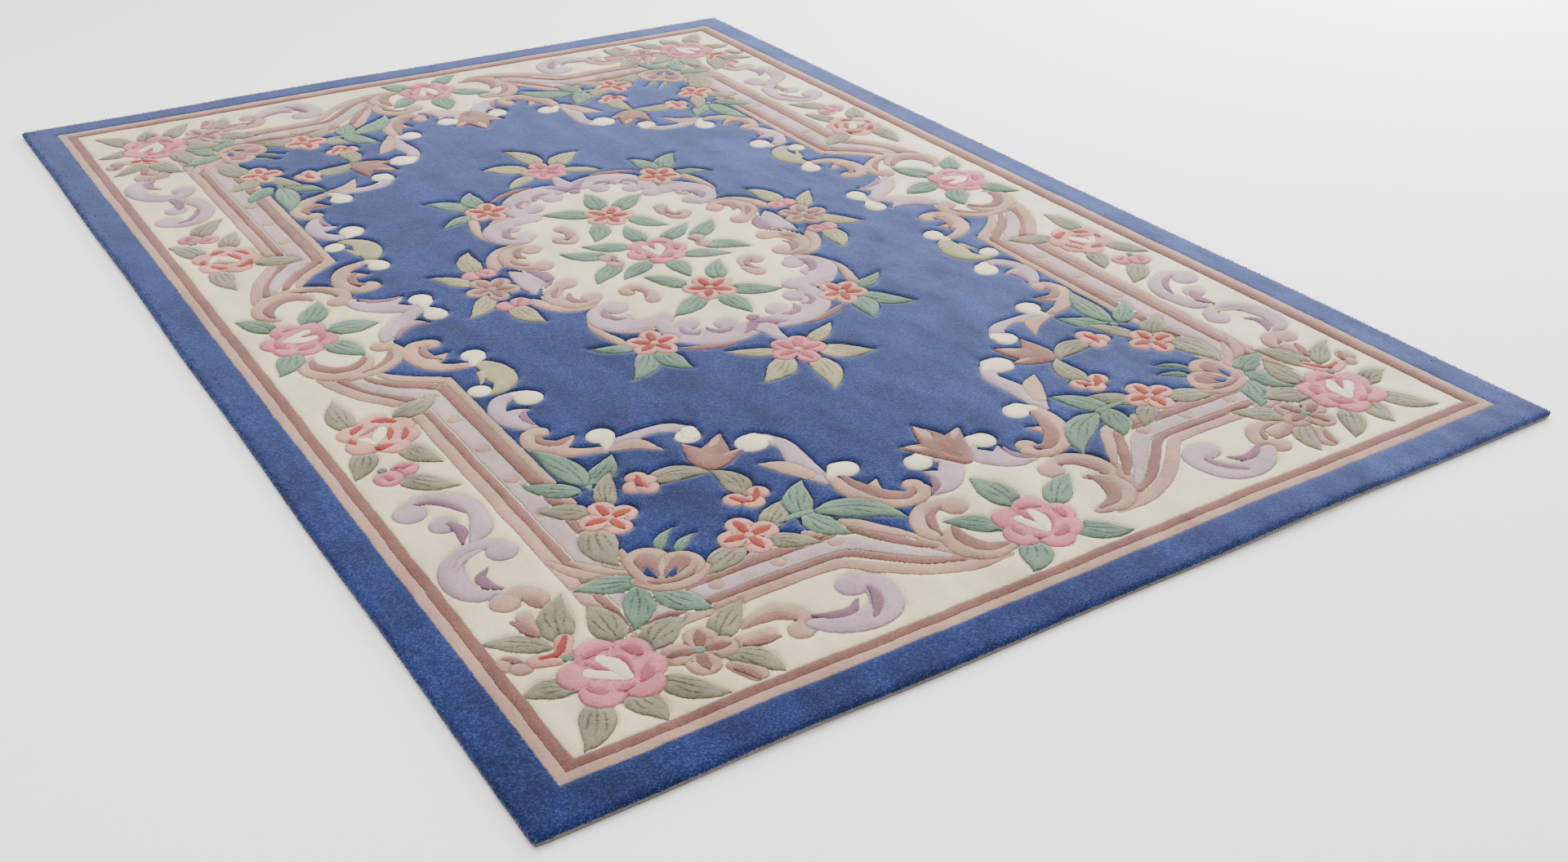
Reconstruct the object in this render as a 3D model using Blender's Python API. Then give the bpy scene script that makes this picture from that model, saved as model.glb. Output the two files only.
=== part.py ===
"""A hand-tufted floral rug with a carved wool pile on a canvas backing, lying flat.

Metres, +Z up. The origin is the middle of the footprint, at floor level. +X runs along the
short side and +Y along the long side.

The pile is one lofted solid. Its sections are closed outlines, one inside the other, that run
from the underside round the rolled rim and over the top to the middle of the medallion. Where
the shears have carved a line into the pile, three sections close together make the groove.
"""

import math
from collections import namedtuple

import bmesh
import bpy

# Driving dimensions
RUG_WIDTH = 2.00
RUG_LENGTH = 2.90
BACKING_THICKNESS = 0.0026
BACKING_INSET = 0.0042
PILE_GAP = 0.0004
PILE_HEIGHT = 0.0130
CORNER_RADIUS = 0.012
ROUNDING_SHARE = 0.4

# The rug lies flat inside this distance from its edge, and may lift off the floor outside it
FLAT_INSET = 0.20

# Carved lines: half the groove's width and its depth
GROOVE_HALF_WIDTH = 0.0055
GROOVE_DEPTH = 0.0026

# The hand-cut edge strays inwards by up to this much, and the shorn top rolls by this much, in
# waves whose numbers are radians for each half side and for each metre
EDGE_STRAY = 0.0022
SHEAR_ROLL = 0.0005
STRAY_WAVES = 9
SHORN_WAVES = (7.0, 5.0)

# Steps between the stations round the outline, finer near the middle of each side
FINE_STEP = 0.045
COARSE_STEP = 0.090
FINE_REACH = 0.36

# The rolled rim, from the foot of the pile to its top: inset from the edge and share of height
RimSection = namedtuple("RimSection", "inset rise")
RIM = (
    RimSection(inset=BACKING_INSET, rise=0.00),
    RimSection(inset=0.0000, rise=0.30),
    RimSection(inset=0.0013, rise=0.66),
    RimSection(inset=0.0046, rise=0.90),
    RimSection(inset=0.0115, rise=1.00),
)

# The lines on the top, from the edge to the middle. Square ones run parallel to the edge, flared
# ones swing outwards round the rose in the middle of each side, and rounded ones are the
# medallion's. A carved line is a groove, and the others only carry the surface across.
Line = namedtuple("Line", "name shape half_width half_length carved")
TOP_LINES = (
    Line("border middle", "square", 0.960, 1.410, False),
    Line("outer guard", "square", 0.930, 1.380, True),
    Line("inner guard", "square", 0.892, 1.342, True),
    Line("moulding outside", "flared", 0.728, 1.170, True),
    Line("moulding inside", "flared", 0.610, 1.065, True),
    Line("field middle", "rounded", 0.500, 0.780, False),
    Line("medallion scrolls", "rounded", 0.335, 0.450, True),
    Line("medallion ground", "rounded", 0.240, 0.345, True),
    Line("medallion middle", "rounded", 0.120, 0.180, False),
)

# How far the flared lines swing out, and where along the side the swing starts and ends
FLARE = 0.105
FLARE_START = 0.33
FLARE_END = 0.15

# The medallion's outline is a rounded rectangle with shallow lobes
ROUNDING_POWER = 2.7
LOBE_COUNT = 8
LOBE_DEPTH = 0.035

# Where the stiff edge lifts a little off the floor
Lift = namedtuple("Lift", "side middle reach height")
LIFTS = (
    Lift(side="near", middle=0.35, reach=0.30, height=0.0036),
    Lift(side="near", middle=-0.62, reach=0.22, height=0.0022),
    Lift(side="left", middle=0.55, reach=0.45, height=0.0030),
    Lift(side="right", middle=-0.80, reach=0.40, height=0.0026),
    Lift(side="far", middle=-0.25, reach=0.35, height=0.0024),
)

# Colours (linear) and finish
PILE_COLOUR = (0.075, 0.135, 0.390, 1.0)
BACKING_COLOUR = (0.360, 0.320, 0.250, 1.0)
WOOL_ROUGHNESS = 0.95
CANVAS_ROUGHNESS = 0.90

HALF_WIDTH = RUG_WIDTH / 2
HALF_LENGTH = RUG_LENGTH / 2
PILE_FOOT = BACKING_THICKNESS + PILE_GAP


def half_side_shares(half_side):
    """Places along half a side, from its middle to its corner, as shares of that half side."""
    straight = half_side - CORNER_RADIUS
    fine = round(FINE_REACH / FINE_STEP)
    coarse = round((straight - FINE_REACH) / COARSE_STEP)
    places = [FINE_REACH * i / fine for i in range(fine)]
    places += [FINE_REACH + (straight - FINE_REACH) * i / coarse for i in range(coarse + 1)]
    places += [straight + CORNER_RADIUS * ROUNDING_SHARE, half_side]
    return [place / half_side for place in places]


def stations():
    """Points round a square of half side 1, anticlockwise from the middle of the right side."""
    up = half_side_shares(HALF_LENGTH)
    across = half_side_shares(HALF_WIDTH)
    quarter = [(1.0, share) for share in up] + [(share, 1.0) for share in reversed(across[:-1])]
    left = [(-p, q) for p, q in reversed(quarter[:-1])]
    upper = quarter + left
    lower = [(p, -q) for p, q in reversed(upper[1:-1])]
    return upper + lower


def smooth_step(value, start, end):
    """0 at start, 1 at end, with a smooth ramp between."""
    t = min(max((value - start) / (end - start), 0.0), 1.0)
    return t * t * (3 - 2 * t)


def square_point(station, half_width, half_length):
    """A rectangle."""
    return half_width * station[0], half_length * station[1]


def flared_point(station, half_width, half_length):
    """A rectangle whose sides swing outwards round their middles."""
    x, y = square_point(station, half_width, half_length)
    if abs(station[0]) == 1.0:
        x += math.copysign(FLARE * smooth_step(abs(y), FLARE_START, FLARE_END), x)
    if abs(station[1]) == 1.0:
        y += math.copysign(FLARE * smooth_step(abs(x), FLARE_START, FLARE_END), y)
    return x, y


def rounded_point(station, half_width, half_length):
    """A superellipse with shallow lobes."""
    p, q = station
    shrink = (abs(p) ** ROUNDING_POWER + abs(q) ** ROUNDING_POWER) ** (-1 / ROUNDING_POWER)
    lobe = 1 + LOBE_DEPTH * math.cos(LOBE_COUNT * math.atan2(q, p))
    return half_width * p * shrink * lobe, half_length * q * shrink * lobe


SHAPES = {"square": square_point, "flared": flared_point, "rounded": rounded_point}


def line_point(station, line, offset=0.0):
    """A point of a carved line, moved outwards by offset."""
    return SHAPES[line.shape](station, line.half_width + offset, line.half_length + offset)


def edge_stray(station):
    """How far the cut edge strays inwards here: nothing at the corners."""
    p, q = station
    along = q if abs(p) == 1.0 else p
    hold = 1 - abs(along) ** 6
    wave = 0.5 + 0.5 * math.sin(STRAY_WAVES * along + 2 * p + 4 * q)
    return EDGE_STRAY * hold * wave


def edge_point(station, inset):
    """A point of the rug's outline, this far inside the edge, with rounded corners."""
    stray = inset + edge_stray(station)
    x = (HALF_WIDTH - stray) * station[0]
    y = (HALF_LENGTH - stray) * station[1]
    centre_x = HALF_WIDTH - stray - CORNER_RADIUS
    centre_y = HALF_LENGTH - stray - CORNER_RADIUS
    over_x, over_y = abs(x) - centre_x, abs(y) - centre_y
    if over_x > 0 and over_y > 0:
        shrink = CORNER_RADIUS / math.hypot(over_x, over_y)
        x = math.copysign(centre_x + over_x * shrink, x)
        y = math.copysign(centre_y + over_y * shrink, y)
    return x, y


def lift_at(x, y):
    """How far the underside is off the floor at a point."""
    sides = {
        "near": (HALF_LENGTH + y, x),
        "far": (HALF_LENGTH - y, x),
        "left": (HALF_WIDTH + x, y),
        "right": (HALF_WIDTH - x, y),
    }
    total = 0.0
    for lift in LIFTS:
        inset, along = sides[lift.side]
        inwards = max(0.0, 1 - inset / FLAT_INSET)
        total += lift.height * inwards * smooth_step(abs(along - lift.middle), lift.reach, 0.0)
    return total


def shear_roll(x, y):
    """The shorn top rolls gently, as hand shears leave it."""
    return SHEAR_ROLL * math.sin(SHORN_WAVES[0] * x + 1) * math.cos(SHORN_WAVES[1] * y)


def pile_top(x, y, cut=0.0):
    """The height of the pile's top, less the depth of a cut."""
    return PILE_FOOT + PILE_HEIGHT + lift_at(x, y) + shear_roll(x, y) - cut


def underside_section(points, inset, height):
    """A section at one height over the floor, which follows the lift."""
    section = []
    for station in points:
        x, y = edge_point(station, inset)
        section.append((x, y, height + lift_at(x, y)))
    return section


def rim_sections(points):
    """The rolled rim of the pile, from its foot to its top."""
    sections = []
    for row in RIM:
        section = []
        for station in points:
            x, y = edge_point(station, row.inset)
            foot = PILE_FOOT + lift_at(x, y)
            section.append((x, y, foot + row.rise * (pile_top(x, y) - foot)))
        sections.append(section)
    return sections


def top_section(points, line, offset=0.0, cut=0.0):
    """A section on the top of the pile, along a line."""
    section = []
    for station in points:
        x, y = line_point(station, line, offset)
        section.append((x, y, pile_top(x, y, cut)))
    return section


def line_sections(points, line):
    """A plain line's one section, or a groove's outer shoulder, bottom and inner shoulder."""
    if not line.carved:
        return [top_section(points, line)]
    return [
        top_section(points, line, offset=GROOVE_HALF_WIDTH),
        top_section(points, line, cut=GROOVE_DEPTH),
        top_section(points, line, offset=-GROOVE_HALF_WIDTH),
    ]


def pile_sections(points):
    """All the pile's sections, from the flat of its underside to the middle of its top."""
    sections = [underside_section(points, FLAT_INSET, PILE_FOOT)]
    sections += rim_sections(points)
    for line in TOP_LINES:
        sections += line_sections(points, line)
    return sections


def backing_sections(points):
    """The backing canvas: top face, cut edge and underside."""
    return [
        underside_section(points, FLAT_INSET, BACKING_THICKNESS),
        underside_section(points, BACKING_INSET, BACKING_THICKNESS),
        underside_section(points, BACKING_INSET, 0.0),
        underside_section(points, FLAT_INSET, 0.0),
    ]


def loft(name, sections, collection):
    """A closed solid through the sections, with its first and last ones filled.

    Each stretch between two sections is split along the same diagonal, so two solids whose
    sections match lie evenly on one another.
    """
    mesh = bmesh.new()
    rings = [[mesh.verts.new(point) for point in section] for section in sections]
    count = len(rings[0])
    for lower, upper in zip(rings, rings[1:]):
        for i in range(count):
            j = (i + 1) % count
            mesh.faces.new((lower[i], lower[j], upper[j]))
            mesh.faces.new((lower[i], upper[j], upper[i]))
    mesh.faces.new(list(reversed(rings[0])))
    mesh.faces.new(rings[-1])
    bmesh.ops.recalc_face_normals(mesh, faces=mesh.faces)
    data = bpy.data.meshes.new(name)
    mesh.to_mesh(data)
    mesh.free()
    data.shade_smooth()
    data.set_sharp_from_angle(angle=math.radians(40))
    piece = bpy.data.objects.new(name, data)
    collection.objects.link(piece)
    return piece


def cloth_material(name, colour, roughness):
    """A matt material of one colour."""
    material = bpy.data.materials.new(name)
    material.use_nodes = True
    shader = material.node_tree.nodes["Principled BSDF"]
    shader.inputs["Base Color"].default_value = colour
    shader.inputs["Roughness"].default_value = roughness
    shader.inputs["Metallic"].default_value = 0.0
    return material


def main():
    for old in list(bpy.data.objects):
        bpy.data.objects.remove(old)
    collection = bpy.data.collections.new("tufted_rug")
    bpy.context.scene.collection.children.link(collection)
    points = stations()
    pile = loft("wool_pile", pile_sections(points), collection)
    pile.data.materials.append(cloth_material("blue_wool", PILE_COLOUR, WOOL_ROUGHNESS))
    backing = loft("backing_canvas", backing_sections(points), collection)
    backing.data.materials.append(
        cloth_material("cotton_canvas", BACKING_COLOUR, CANVAS_ROUGHNESS)
    )


main()
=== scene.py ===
"""The looks of a hand-tufted floral wool rug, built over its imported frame.

Every flower, leaf, scroll and stripe is a block of coloured pile with its own mesh. Each block is
a brush stroke: a smooth centre line with a half width that changes along it. Later strokes lie
over earlier ones. The shears have cut a groove along the edge of every stroke, so a point's height
depends on how far it is from the nearest stroke's outline.

Metres, +Z up, in the frame's own axes. The design's tables are in centimetres.
"""

import math
from collections import namedtuple

import bpy
import numpy as np
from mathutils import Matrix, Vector


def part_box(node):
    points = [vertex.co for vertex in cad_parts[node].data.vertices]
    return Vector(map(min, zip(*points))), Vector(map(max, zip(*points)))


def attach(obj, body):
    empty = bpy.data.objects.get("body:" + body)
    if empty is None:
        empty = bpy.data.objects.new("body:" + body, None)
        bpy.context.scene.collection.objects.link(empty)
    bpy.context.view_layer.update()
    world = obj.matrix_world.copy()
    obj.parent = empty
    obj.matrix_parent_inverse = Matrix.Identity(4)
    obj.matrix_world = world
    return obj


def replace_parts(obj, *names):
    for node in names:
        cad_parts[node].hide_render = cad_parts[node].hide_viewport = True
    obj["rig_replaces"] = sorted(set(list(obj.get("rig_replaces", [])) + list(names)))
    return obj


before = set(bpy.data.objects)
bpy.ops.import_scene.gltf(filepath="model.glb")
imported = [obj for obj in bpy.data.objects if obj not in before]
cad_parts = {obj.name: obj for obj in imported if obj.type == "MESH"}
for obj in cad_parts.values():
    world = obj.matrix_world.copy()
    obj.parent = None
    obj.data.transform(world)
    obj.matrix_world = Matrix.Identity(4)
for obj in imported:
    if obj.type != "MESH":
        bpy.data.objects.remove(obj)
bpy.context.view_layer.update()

bl_info = {
    "name": "Floral Tufted Rug",
    "version": (1, 0, 0),
    "blender": (4, 5, 0),
    "location": "3D View > Sidebar > Rug",
    "description": "Builds a carved wool rug with a floral design around its frame",
    "category": "Add Mesh",
}

CM = 0.01
MM = 0.001

PILE_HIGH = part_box("wool_pile")[1]
HALF_WIDTH = PILE_HIGH.x
HALF_LENGTH = PILE_HIGH.y

# The bands round the edge, from the outside, in metres from the edge
BORDER_WIDTH = 0.070
PEACH_GUARD_WIDTH = 0.018
DUSTY_GUARD_WIDTH = 0.020
GUARD_INSET = BORDER_WIDTH + PEACH_GUARD_WIDTH
GROUND_INSET = GUARD_INSET + DUSTY_GUARD_WIDTH

# How deep the grooves beside the border and the guard stripes are, from 0 to 1
BORDER_CUT = 0.35
GUARD_CUT = 0.3
GROUND_CUT = 0.6
# A groove is a narrow cut and a shallow one beside it: their shares, and how much wider the second is
NARROW_SHARE = 0.68
WIDE_SHARE = 0.32
WIDER = 2.4
# A groove's hidden floor under a stroke goes this much deeper than the groove
TUCK = 1.6 * MM
# How far the hidden walls of the border and the guard stripes go down
WALL_DROP = 2 * MM
# How far the shade of an uncarved line lies from it, when a fully carved one's lies on it
SHADE_SHIFT = 3 * MM
# How far the strokes' pile swells over their edges
SWELL_REACH = 8 * MM
# Where another stroke of its part is the deeper one, a stroke lies lower by this share, up to this much
SLUMP = 0.35
SLUMP_MOST = 0.8 * MM
# How deep a leaf's midrib lies, and the half width from which it is as deep as that
MIDRIB_DEPTH = 0.6 * MM
MIDRIB_WIDE = 12 * MM
# Past this distance a stroke has no say in the height of the pile beside it
REACH = 16 * MM
# How far the ground runs under the guard stripe, and how far under a stroke it is still built
GROUND_LAP = 4 * MM
GROUND_HIDDEN = 5 * MM

# Where the edge lifts off the floor: the middle and the reach along its side, and how high it lifts
Lift = namedtuple("Lift", "side middle reach height")
LIFTS = (
    Lift(side="near", middle=0.35, reach=0.30, height=0.0036),
    Lift(side="near", middle=-0.62, reach=0.22, height=0.0022),
    Lift(side="left", middle=0.55, reach=0.45, height=0.0030),
    Lift(side="right", middle=-0.80, reach=0.40, height=0.0026),
    Lift(side="far", middle=-0.25, reach=0.35, height=0.0024),
)
FLAT_INSET = 0.20
# How far the cut edge strays inwards, and how quickly it does so along a side
EDGE_STRAY = 0.0022
STRAY_WAVES = 9
CORNER_RADIUS = 0.006
BACKING_INSET = 0.0042
BACKING_THICKNESS = 0.0026
# The canvas is turned up round the edge into a low hem under the roll of the pile
HEM_HEIGHT = 0.0088
HEM_INSET = 0.0014
PILE_FOOT = 0.0030
PILE_HEIGHT = 0.0130
PILE_TOP = PILE_FOOT + PILE_HEIGHT
STROKE_FLOOR = PILE_TOP - 5.2 * MM

# The shorn pile's unevenness: slow roll, patches and single tufts
Unevenness = namedtuple("Unevenness", "height cell seed")
UNEVENNESS = (
    Unevenness(0.50 * MM, 160 * MM, 3), Unevenness(0.25 * MM, 35 * MM, 4), Unevenness(0.12 * MM, 5 * MM, 5),
)
# How the tufting strays sideways: a slow drift and a quick shake, each with its size and its wave
DRIFT, DRIFT_WAVE = 1.1 * MM, 45 * MM
SHAKE, SHAKE_WAVE = 0.9 * MM, 8 * MM
# The insets between which that straying sets in
STRAY_START, STRAY_FULL = 12 * MM, 32 * MM


def to_linear(code):
    """The linear colour of an sRGB hex value such as #A1B2C3."""
    parts = [int(code[i:i + 2], 16) / 255 for i in (1, 3, 5)]
    return tuple(p / 12.92 if p <= 0.04045 else ((p + 0.055) / 1.055) ** 2.4 for p in parts) + (1.0,)


# Each yarn's colour, its deeper colour down in the pile, which is also painted in as shade along its
# carved edges and veins, the paler colour of its cut tips, how much its grain and its slow patches of nap
# show, how dark the painted shade along its carved edges is, and how much paler a painted sheen makes
# its pile at the right edge than at the left
Yarn = namedtuple("Yarn", "main deep light grain edge lie", defaults=(0.5, 0.0))
YARNS = {
    "blue": Yarn("#111B46", "#090E22", "#3F4D7A", 0.95, 0.85, 0.6),
    "cream": Yarn("#C7BA96", "#9A8D6C", "#D9D2BE", 0.35, 0.34, 0.5),
    "white": Yarn("#CFC3A5", "#A09678", "#DDD7C5", 0.35, 0.4),
    "peach": Yarn("#977868", "#674B3F", "#AF9385", 0.5),
    "dusty": Yarn("#66463E", "#3E2420", "#896259", 0.6),
    "lilac": Yarn("#9E8986", "#6F5A5B", "#B3A2A1", 0.5),
    "rosewood": Yarn("#705048", "#452C27", "#916E66", 0.6),
    "sand": Yarn("#9C7C69", "#6D503E", "#B39887", 0.5),
    "sage": Yarn("#726D5A", "#3E3C2D", "#918C76", 0.6),
    "olive": Yarn("#857F5F", "#544F35", "#A7A285", 0.6),
    "teal": Yarn("#556A5A", "#28372D", "#7A8E77", 0.6),
    "rose": Yarn("#AE686F", "#7E3D45", "#C39192", 0.5, 0.6),
    "carmine": Yarn("#8A464D", "#672D34", "#AF7074", 0.5),
    "salmon": Yarn("#B18071", "#7F4F44", "#C19B8F", 0.5, 0.6),
    "coral": Yarn("#7F312C", "#521915", "#9E574E", 0.5),
    "lavender": Yarn("#988289", "#65525D", "#AD9CA2", 0.5),
    "plum": Yarn("#6C4D5C", "#432A38", "#8B7081", 0.5),
}


class RugSizes(bpy.types.PropertyGroup):
    """Sizes of the carving and of the meshes."""

    groove_depth: bpy.props.FloatProperty(
        name="Groove depth", description="How deep the shears cut along a motif's edge",
        default=3.6 * MM, min=0.0, unit="LENGTH", subtype="DISTANCE")
    groove_width: bpy.props.FloatProperty(
        name="Groove width", description="How far a groove reaches to each side of its line",
        default=3.6 * MM, min=0.001, unit="LENGTH", subtype="DISTANCE")
    swell: bpy.props.FloatProperty(
        name="Swell", description="How far a motif's middle stands over the ground",
        default=0.7 * MM, min=0.0, unit="LENGTH", subtype="DISTANCE")
    ground_step: bpy.props.FloatProperty(
        name="Ground step", description="Spacing of the ground pile's points",
        default=5.3 * MM, min=0.002, unit="LENGTH", subtype="DISTANCE")
    stroke_step: bpy.props.FloatProperty(
        name="Stroke step", description="Spacing of the points along a motif",
        default=6.5 * MM, min=0.002, unit="LENGTH", subtype="DISTANCE")
    tuft_spacing: bpy.props.FloatProperty(
        name="Rim tuft spacing", description="Mean distance between the loose tufts of the rim",
        default=0.75 * MM, min=0.0004, unit="LENGTH", subtype="DISTANCE")


def colour_property(yarn):
    """A colour setting whose default is the yarn's own colour."""
    return bpy.props.FloatVectorProperty(
        name=yarn.capitalize(), description=f"Colour of the {yarn} wool", size=4,
        default=to_linear(YARNS[yarn].main), min=0.0, max=1.0, subtype="COLOR")


class RugColours(bpy.types.PropertyGroup):
    """Colours of the wool."""

    __annotations__ = {yarn: colour_property(yarn) for yarn in YARNS}


# The design. A stroke has its yarn, rows of x, y and half width in centimetres, and how deep
# its outline is carved, from 0 to 1. Strokes of one part run into each other, with seams carved
# only as deep as the last value says.
Stroke = namedtuple("Stroke", "yarn rows cut part seam veined")


def brush(yarn, *rows, cut=1.0, veined=False):
    """A stroke through rows of x, y and half width."""
    return [Stroke(yarn, np.array(rows, float), cut, None, 0.0, veined)]


def as_one(*groups, seam=0.0):
    """Strokes made into one part."""
    part = object()
    return [s._replace(part=part, seam=seam) for group in groups for s in group]


def line(yarn, *rows):
    """A stroke of colour set in a petal or a scroll, with little carving round it."""
    return brush(yarn, *rows, cut=0.4)


def merged(strokes):
    """Strokes whose deeply carved ones run into each other wherever they are of one yarn."""
    parts = {yarn: object() for yarn in YARNS}
    return [s._replace(part=parts[s.yarn]) if s.cut >= 0.6 else s for s in strokes]


def ball(yarn, x, y, radius, cut=1.0):
    """A round spot."""
    return brush(yarn, (x - 0.05, y, radius), (x + 0.05, y, radius), cut=cut)


LEAF_YARNS = ("sage", "teal", "olive")
LEAF_SHARES = (0.0, 0.16, 0.40, 0.66, 0.87, 1.0)
LEAF_HALVES = (0.34, 0.87, 1.0, 0.69, 0.27, 0.0)


def leaf(yarn, base, tip, width, bend=0.08):
    """A pointed leaf: broad below its middle, its line bowed sideways by bend times its length."""
    base, tip = np.array(base, float), np.array(tip, float)
    run = tip - base
    side = np.array((-run[1], run[0]))
    rows = []
    for share, half in zip(LEAF_SHARES, LEAF_HALVES):
        place = base + share * run + side * bend * 4 * share * (1 - share)
        rows.append((place[0], place[1], half * width / 2))
    return brush(yarn, *rows, veined=True)


def leaves_of(yarn, *rows):
    """Leaves of one yarn, from rows of the base's x and y, the tip's x and y, width and bend."""
    return [s for a, b, c, d, width, bend in rows for s in leaf(yarn, (a, b), (c, d), width, bend)]


def turned(points, centre, scale, angle):
    """Rows given round the origin, scaled, turned by an angle in degrees and moved to a centre."""
    c, s = math.cos(math.radians(angle)), math.sin(math.radians(angle))
    return [
        (centre[0] + scale * (c * x - s * y), centre[1] + scale * (s * x + c * y), scale * w)
        for x, y, w in points
    ]


def placed(strokes, centre, scale=1.0, angle=0.0):
    """Strokes drawn round the origin, moved to a centre."""
    return [s._replace(rows=np.array(turned(s.rows, centre, scale, angle))) for s in strokes]


def blossom(centre, radius, angles, petal="salmon", dart="coral", heart="peach", spread=0.42):
    """An open flower: a petal at each angle with a dart of darker wool, and a round heart."""
    strokes, darts = [], []
    for angle in angles:
        petal_rows = ((0.22, 0, 0.24), (0.46, 0.02, 0.85 * spread), (1.02 - spread, -0.01, spread))
        dart_rows = ((0.08, 0, 0.08), (0.34, 0, 0.16), (0.58, 0, 0.17), (0.84, 0.02, 0.03))
        strokes += brush(petal, *turned(petal_rows, centre, radius, angle))
        darts += line(dart, *turned(dart_rows, centre, radius, angle))
    return as_one(strokes, seam=0.7) + darts + ball(heart, *centre, 0.15 * radius, cut=0.5)


def arc(yarn, radius, start, end, half):
    """A crescent round the origin between two angles in degrees, with pointed ends."""
    rows = []
    for share, wide in ((0.0, 0.15), (0.3, 0.9), (0.65, 1.0), (1.0, 0.15)):
        angle = math.radians(start + share * (end - start))
        rows.append((radius * math.cos(angle), radius * math.sin(angle), wide * half))
    return line(yarn, *rows)


# The outer petals of a rose: each one's angle, reach and half width as shares of its radius
ROSE_PETALS = (
    (19, 0.59, 0.4), (79, 0.6, 0.4), (147, 0.58, 0.41), (211, 0.58, 0.42), (283, 0.59, 0.41),
    (332, 0.56, 0.4))


def rose_petals(petal):
    """A rose's six outer petals, with its inner petal rolled round its heart."""
    outer = []
    for angle, reach, half in ROSE_PETALS:
        outer += brush(petal, *turned(((0.26, 0, 0.3), (reach, 0, half)), (0, 0), 1, angle))
    rolled = brush(
        petal, (-0.46, 0.3, 0.12), (-0.2, 0.54, 0.2), (0.18, 0.5, 0.22), (0.44, 0.18, 0.21),
        (0.42, -0.22, 0.2), (0.1, -0.48, 0.16), (-0.16, -0.5, 0.06))
    return as_one(outer, rolled, ball(petal, -0.06, -0.02, 0.42, cut=0.5), seam=0.75)


def rose(centre, radius, turn, petal="rose", fold="carmine"):
    """A full rose: its petals, folds between them, and a pale V with a notch in its heart."""
    folds = (
        arc(fold, 0.61, 114, 56, 0.08) + arc(fold, 0.63, 38, -4, 0.12) + arc(fold, 0.59, -24, -82, 0.11)
        + arc(fold, 0.56, -90, -132, 0.06) + arc(fold, 0.62, 224, 184, 0.08)
        + line(fold, (0.16, 0.3, 0.03), (0.27, 0.06, 0.09), (0.15, -0.3, 0.05), (-0.02, -0.4, 0.02))
    )
    pale = (
        line("cream", (0.05, -0.4, 0.04), (-0.14, -0.04, 0.14), (-0.34, 0.22, 0.13))
        + line("cream", (0.06, -0.4, 0.05), (0.11, 0.04, 0.16), (0.04, 0.38, 0.11))
        + line(fold, (-0.07, 0.04, 0.02), (-0.14, 0.24, 0.075), (-0.22, 0.46, 0.03))
    )
    return placed(rose_petals(petal) + folds + pale, centre, radius, turn)


def coral_rose(centre, radius):
    """A rose in salmon wool with five bold coral folds, and a broad pale wedge in its heart."""
    folds = (
        arc("coral", 0.62, 158, 106, 0.11) + arc("coral", 0.67, 94, 22, 0.12)
        + arc("coral", 0.62, 0, -56, 0.09)
        + arc("coral", 0.6, -76, -124, 0.12) + arc("coral", 0.66, 166, 208, 0.08)
    )
    heart = (
        line("cream", (-0.24, -0.4, 0.04), (-0.04, -0.08, 0.16), (0.16, 0.22, 0.11))
        + line("cream", (-0.24, -0.34, 0.05), (-0.34, -0.12, 0.12), (-0.48, 0.0, 0.04))
        + line("coral", (0.08, -0.4, 0.03), (0.24, -0.1, 0.09), (0.34, 0.2, 0.04))
        + line("rosewood", (-0.42, 0.12, 0.03), (-0.18, 0.24, 0.07), (0.12, 0.38, 0.03))
    )
    return placed(rose_petals("salmon") + folds + heart, centre, radius)


# The moulding's stripes: each one's yarn, place on the long and short sides, and half width,
# then its rows where it swings out round the rose of the long side and of the short side
Stripe = namedtuple("Stripe", "yarn long_x short_y half long_flare short_flare")
STRIPES = (
    Stripe(
        "peach", -71.9, -116.1, 1.15,
        ((-71.9, -37.5, 1.15), (-73.6, -33.8, 1.2), (-77.6, -28.3, 1.3), (-80.3, -22.3, 1.2),
         (-82.2, -16, 0.9)),
        ((-38, -116.1, 1.15), (-34.2, -117, 1.2), (-29.8, -121.1, 1.3), (-24.3, -125.1, 1.3),
         (-18, -127.4, 1.3), (-11.5, -127.7, 1)),
    ),
    Stripe(
        "rosewood", -69.9, -114, 0.85,
        ((-69.9, -37.5, 0.85), (-71.3, -33.4, 0.9), (-75.4, -27.4, 0.95), (-78.1, -22.2, 0.9),
         (-79.6, -18.4, 0.5)),
        ((-37, -114, 0.85), (-32.5, -114.9, 0.9), (-28.3, -118.6, 0.95), (-23.5, -122.7, 0.95),
         (-18.4, -125.4, 0.5)),
    ),
    Stripe(
        "lilac", -67.05, -111.5, 1.75,
        ((-67.05, -36.5, 1.75), (-68.6, -32.9, 1.7), (-72.6, -29, 1.6), (-75.6, -24.8, 1.3),
         (-77.2, -21.2, 0.6)),
        ((-36, -111.5, 1.75), (-31, -112.6, 1.7), (-27, -116.2, 1.5), (-23.2, -120.3, 1.2),
         (-19.8, -123.4, 0.6)),
    ),
    Stripe(
        "rosewood", -64, -108.85, 1.15,
        ((-64, -35, 1.15), (-65.3, -31.6, 1.15), (-69.7, -28.2, 1.1), (-72.9, -24.8, 1), (-74.9, -21, 0.5)),
        ((-34, -108.85, 1.15), (-28.6, -109.2, 1.15), (-25.9, -113, 1.1), (-22.9, -117.2, 1),
         (-20, -120.6, 0.5)),
    ),
    Stripe(
        "sand", -62, -106.85, 0.85,
        ((-62, -33, 0.85), (-62.9, -30.2, 1.1), (-67.1, -27.4, 1.1), (-70.4, -24.4, 1), (-72.4, -21, 0.6)),
        ((-32, -106.85, 0.85), (-27.4, -107.9, 1.1), (-24.2, -112, 1.1), (-20.6, -116.8, 0.6)),
    ),
)
LONG_STUDS = (-45, -56.7, -68.2, -79.8)
SHORT_STUDS = (-54, -43, -32.5)


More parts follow.
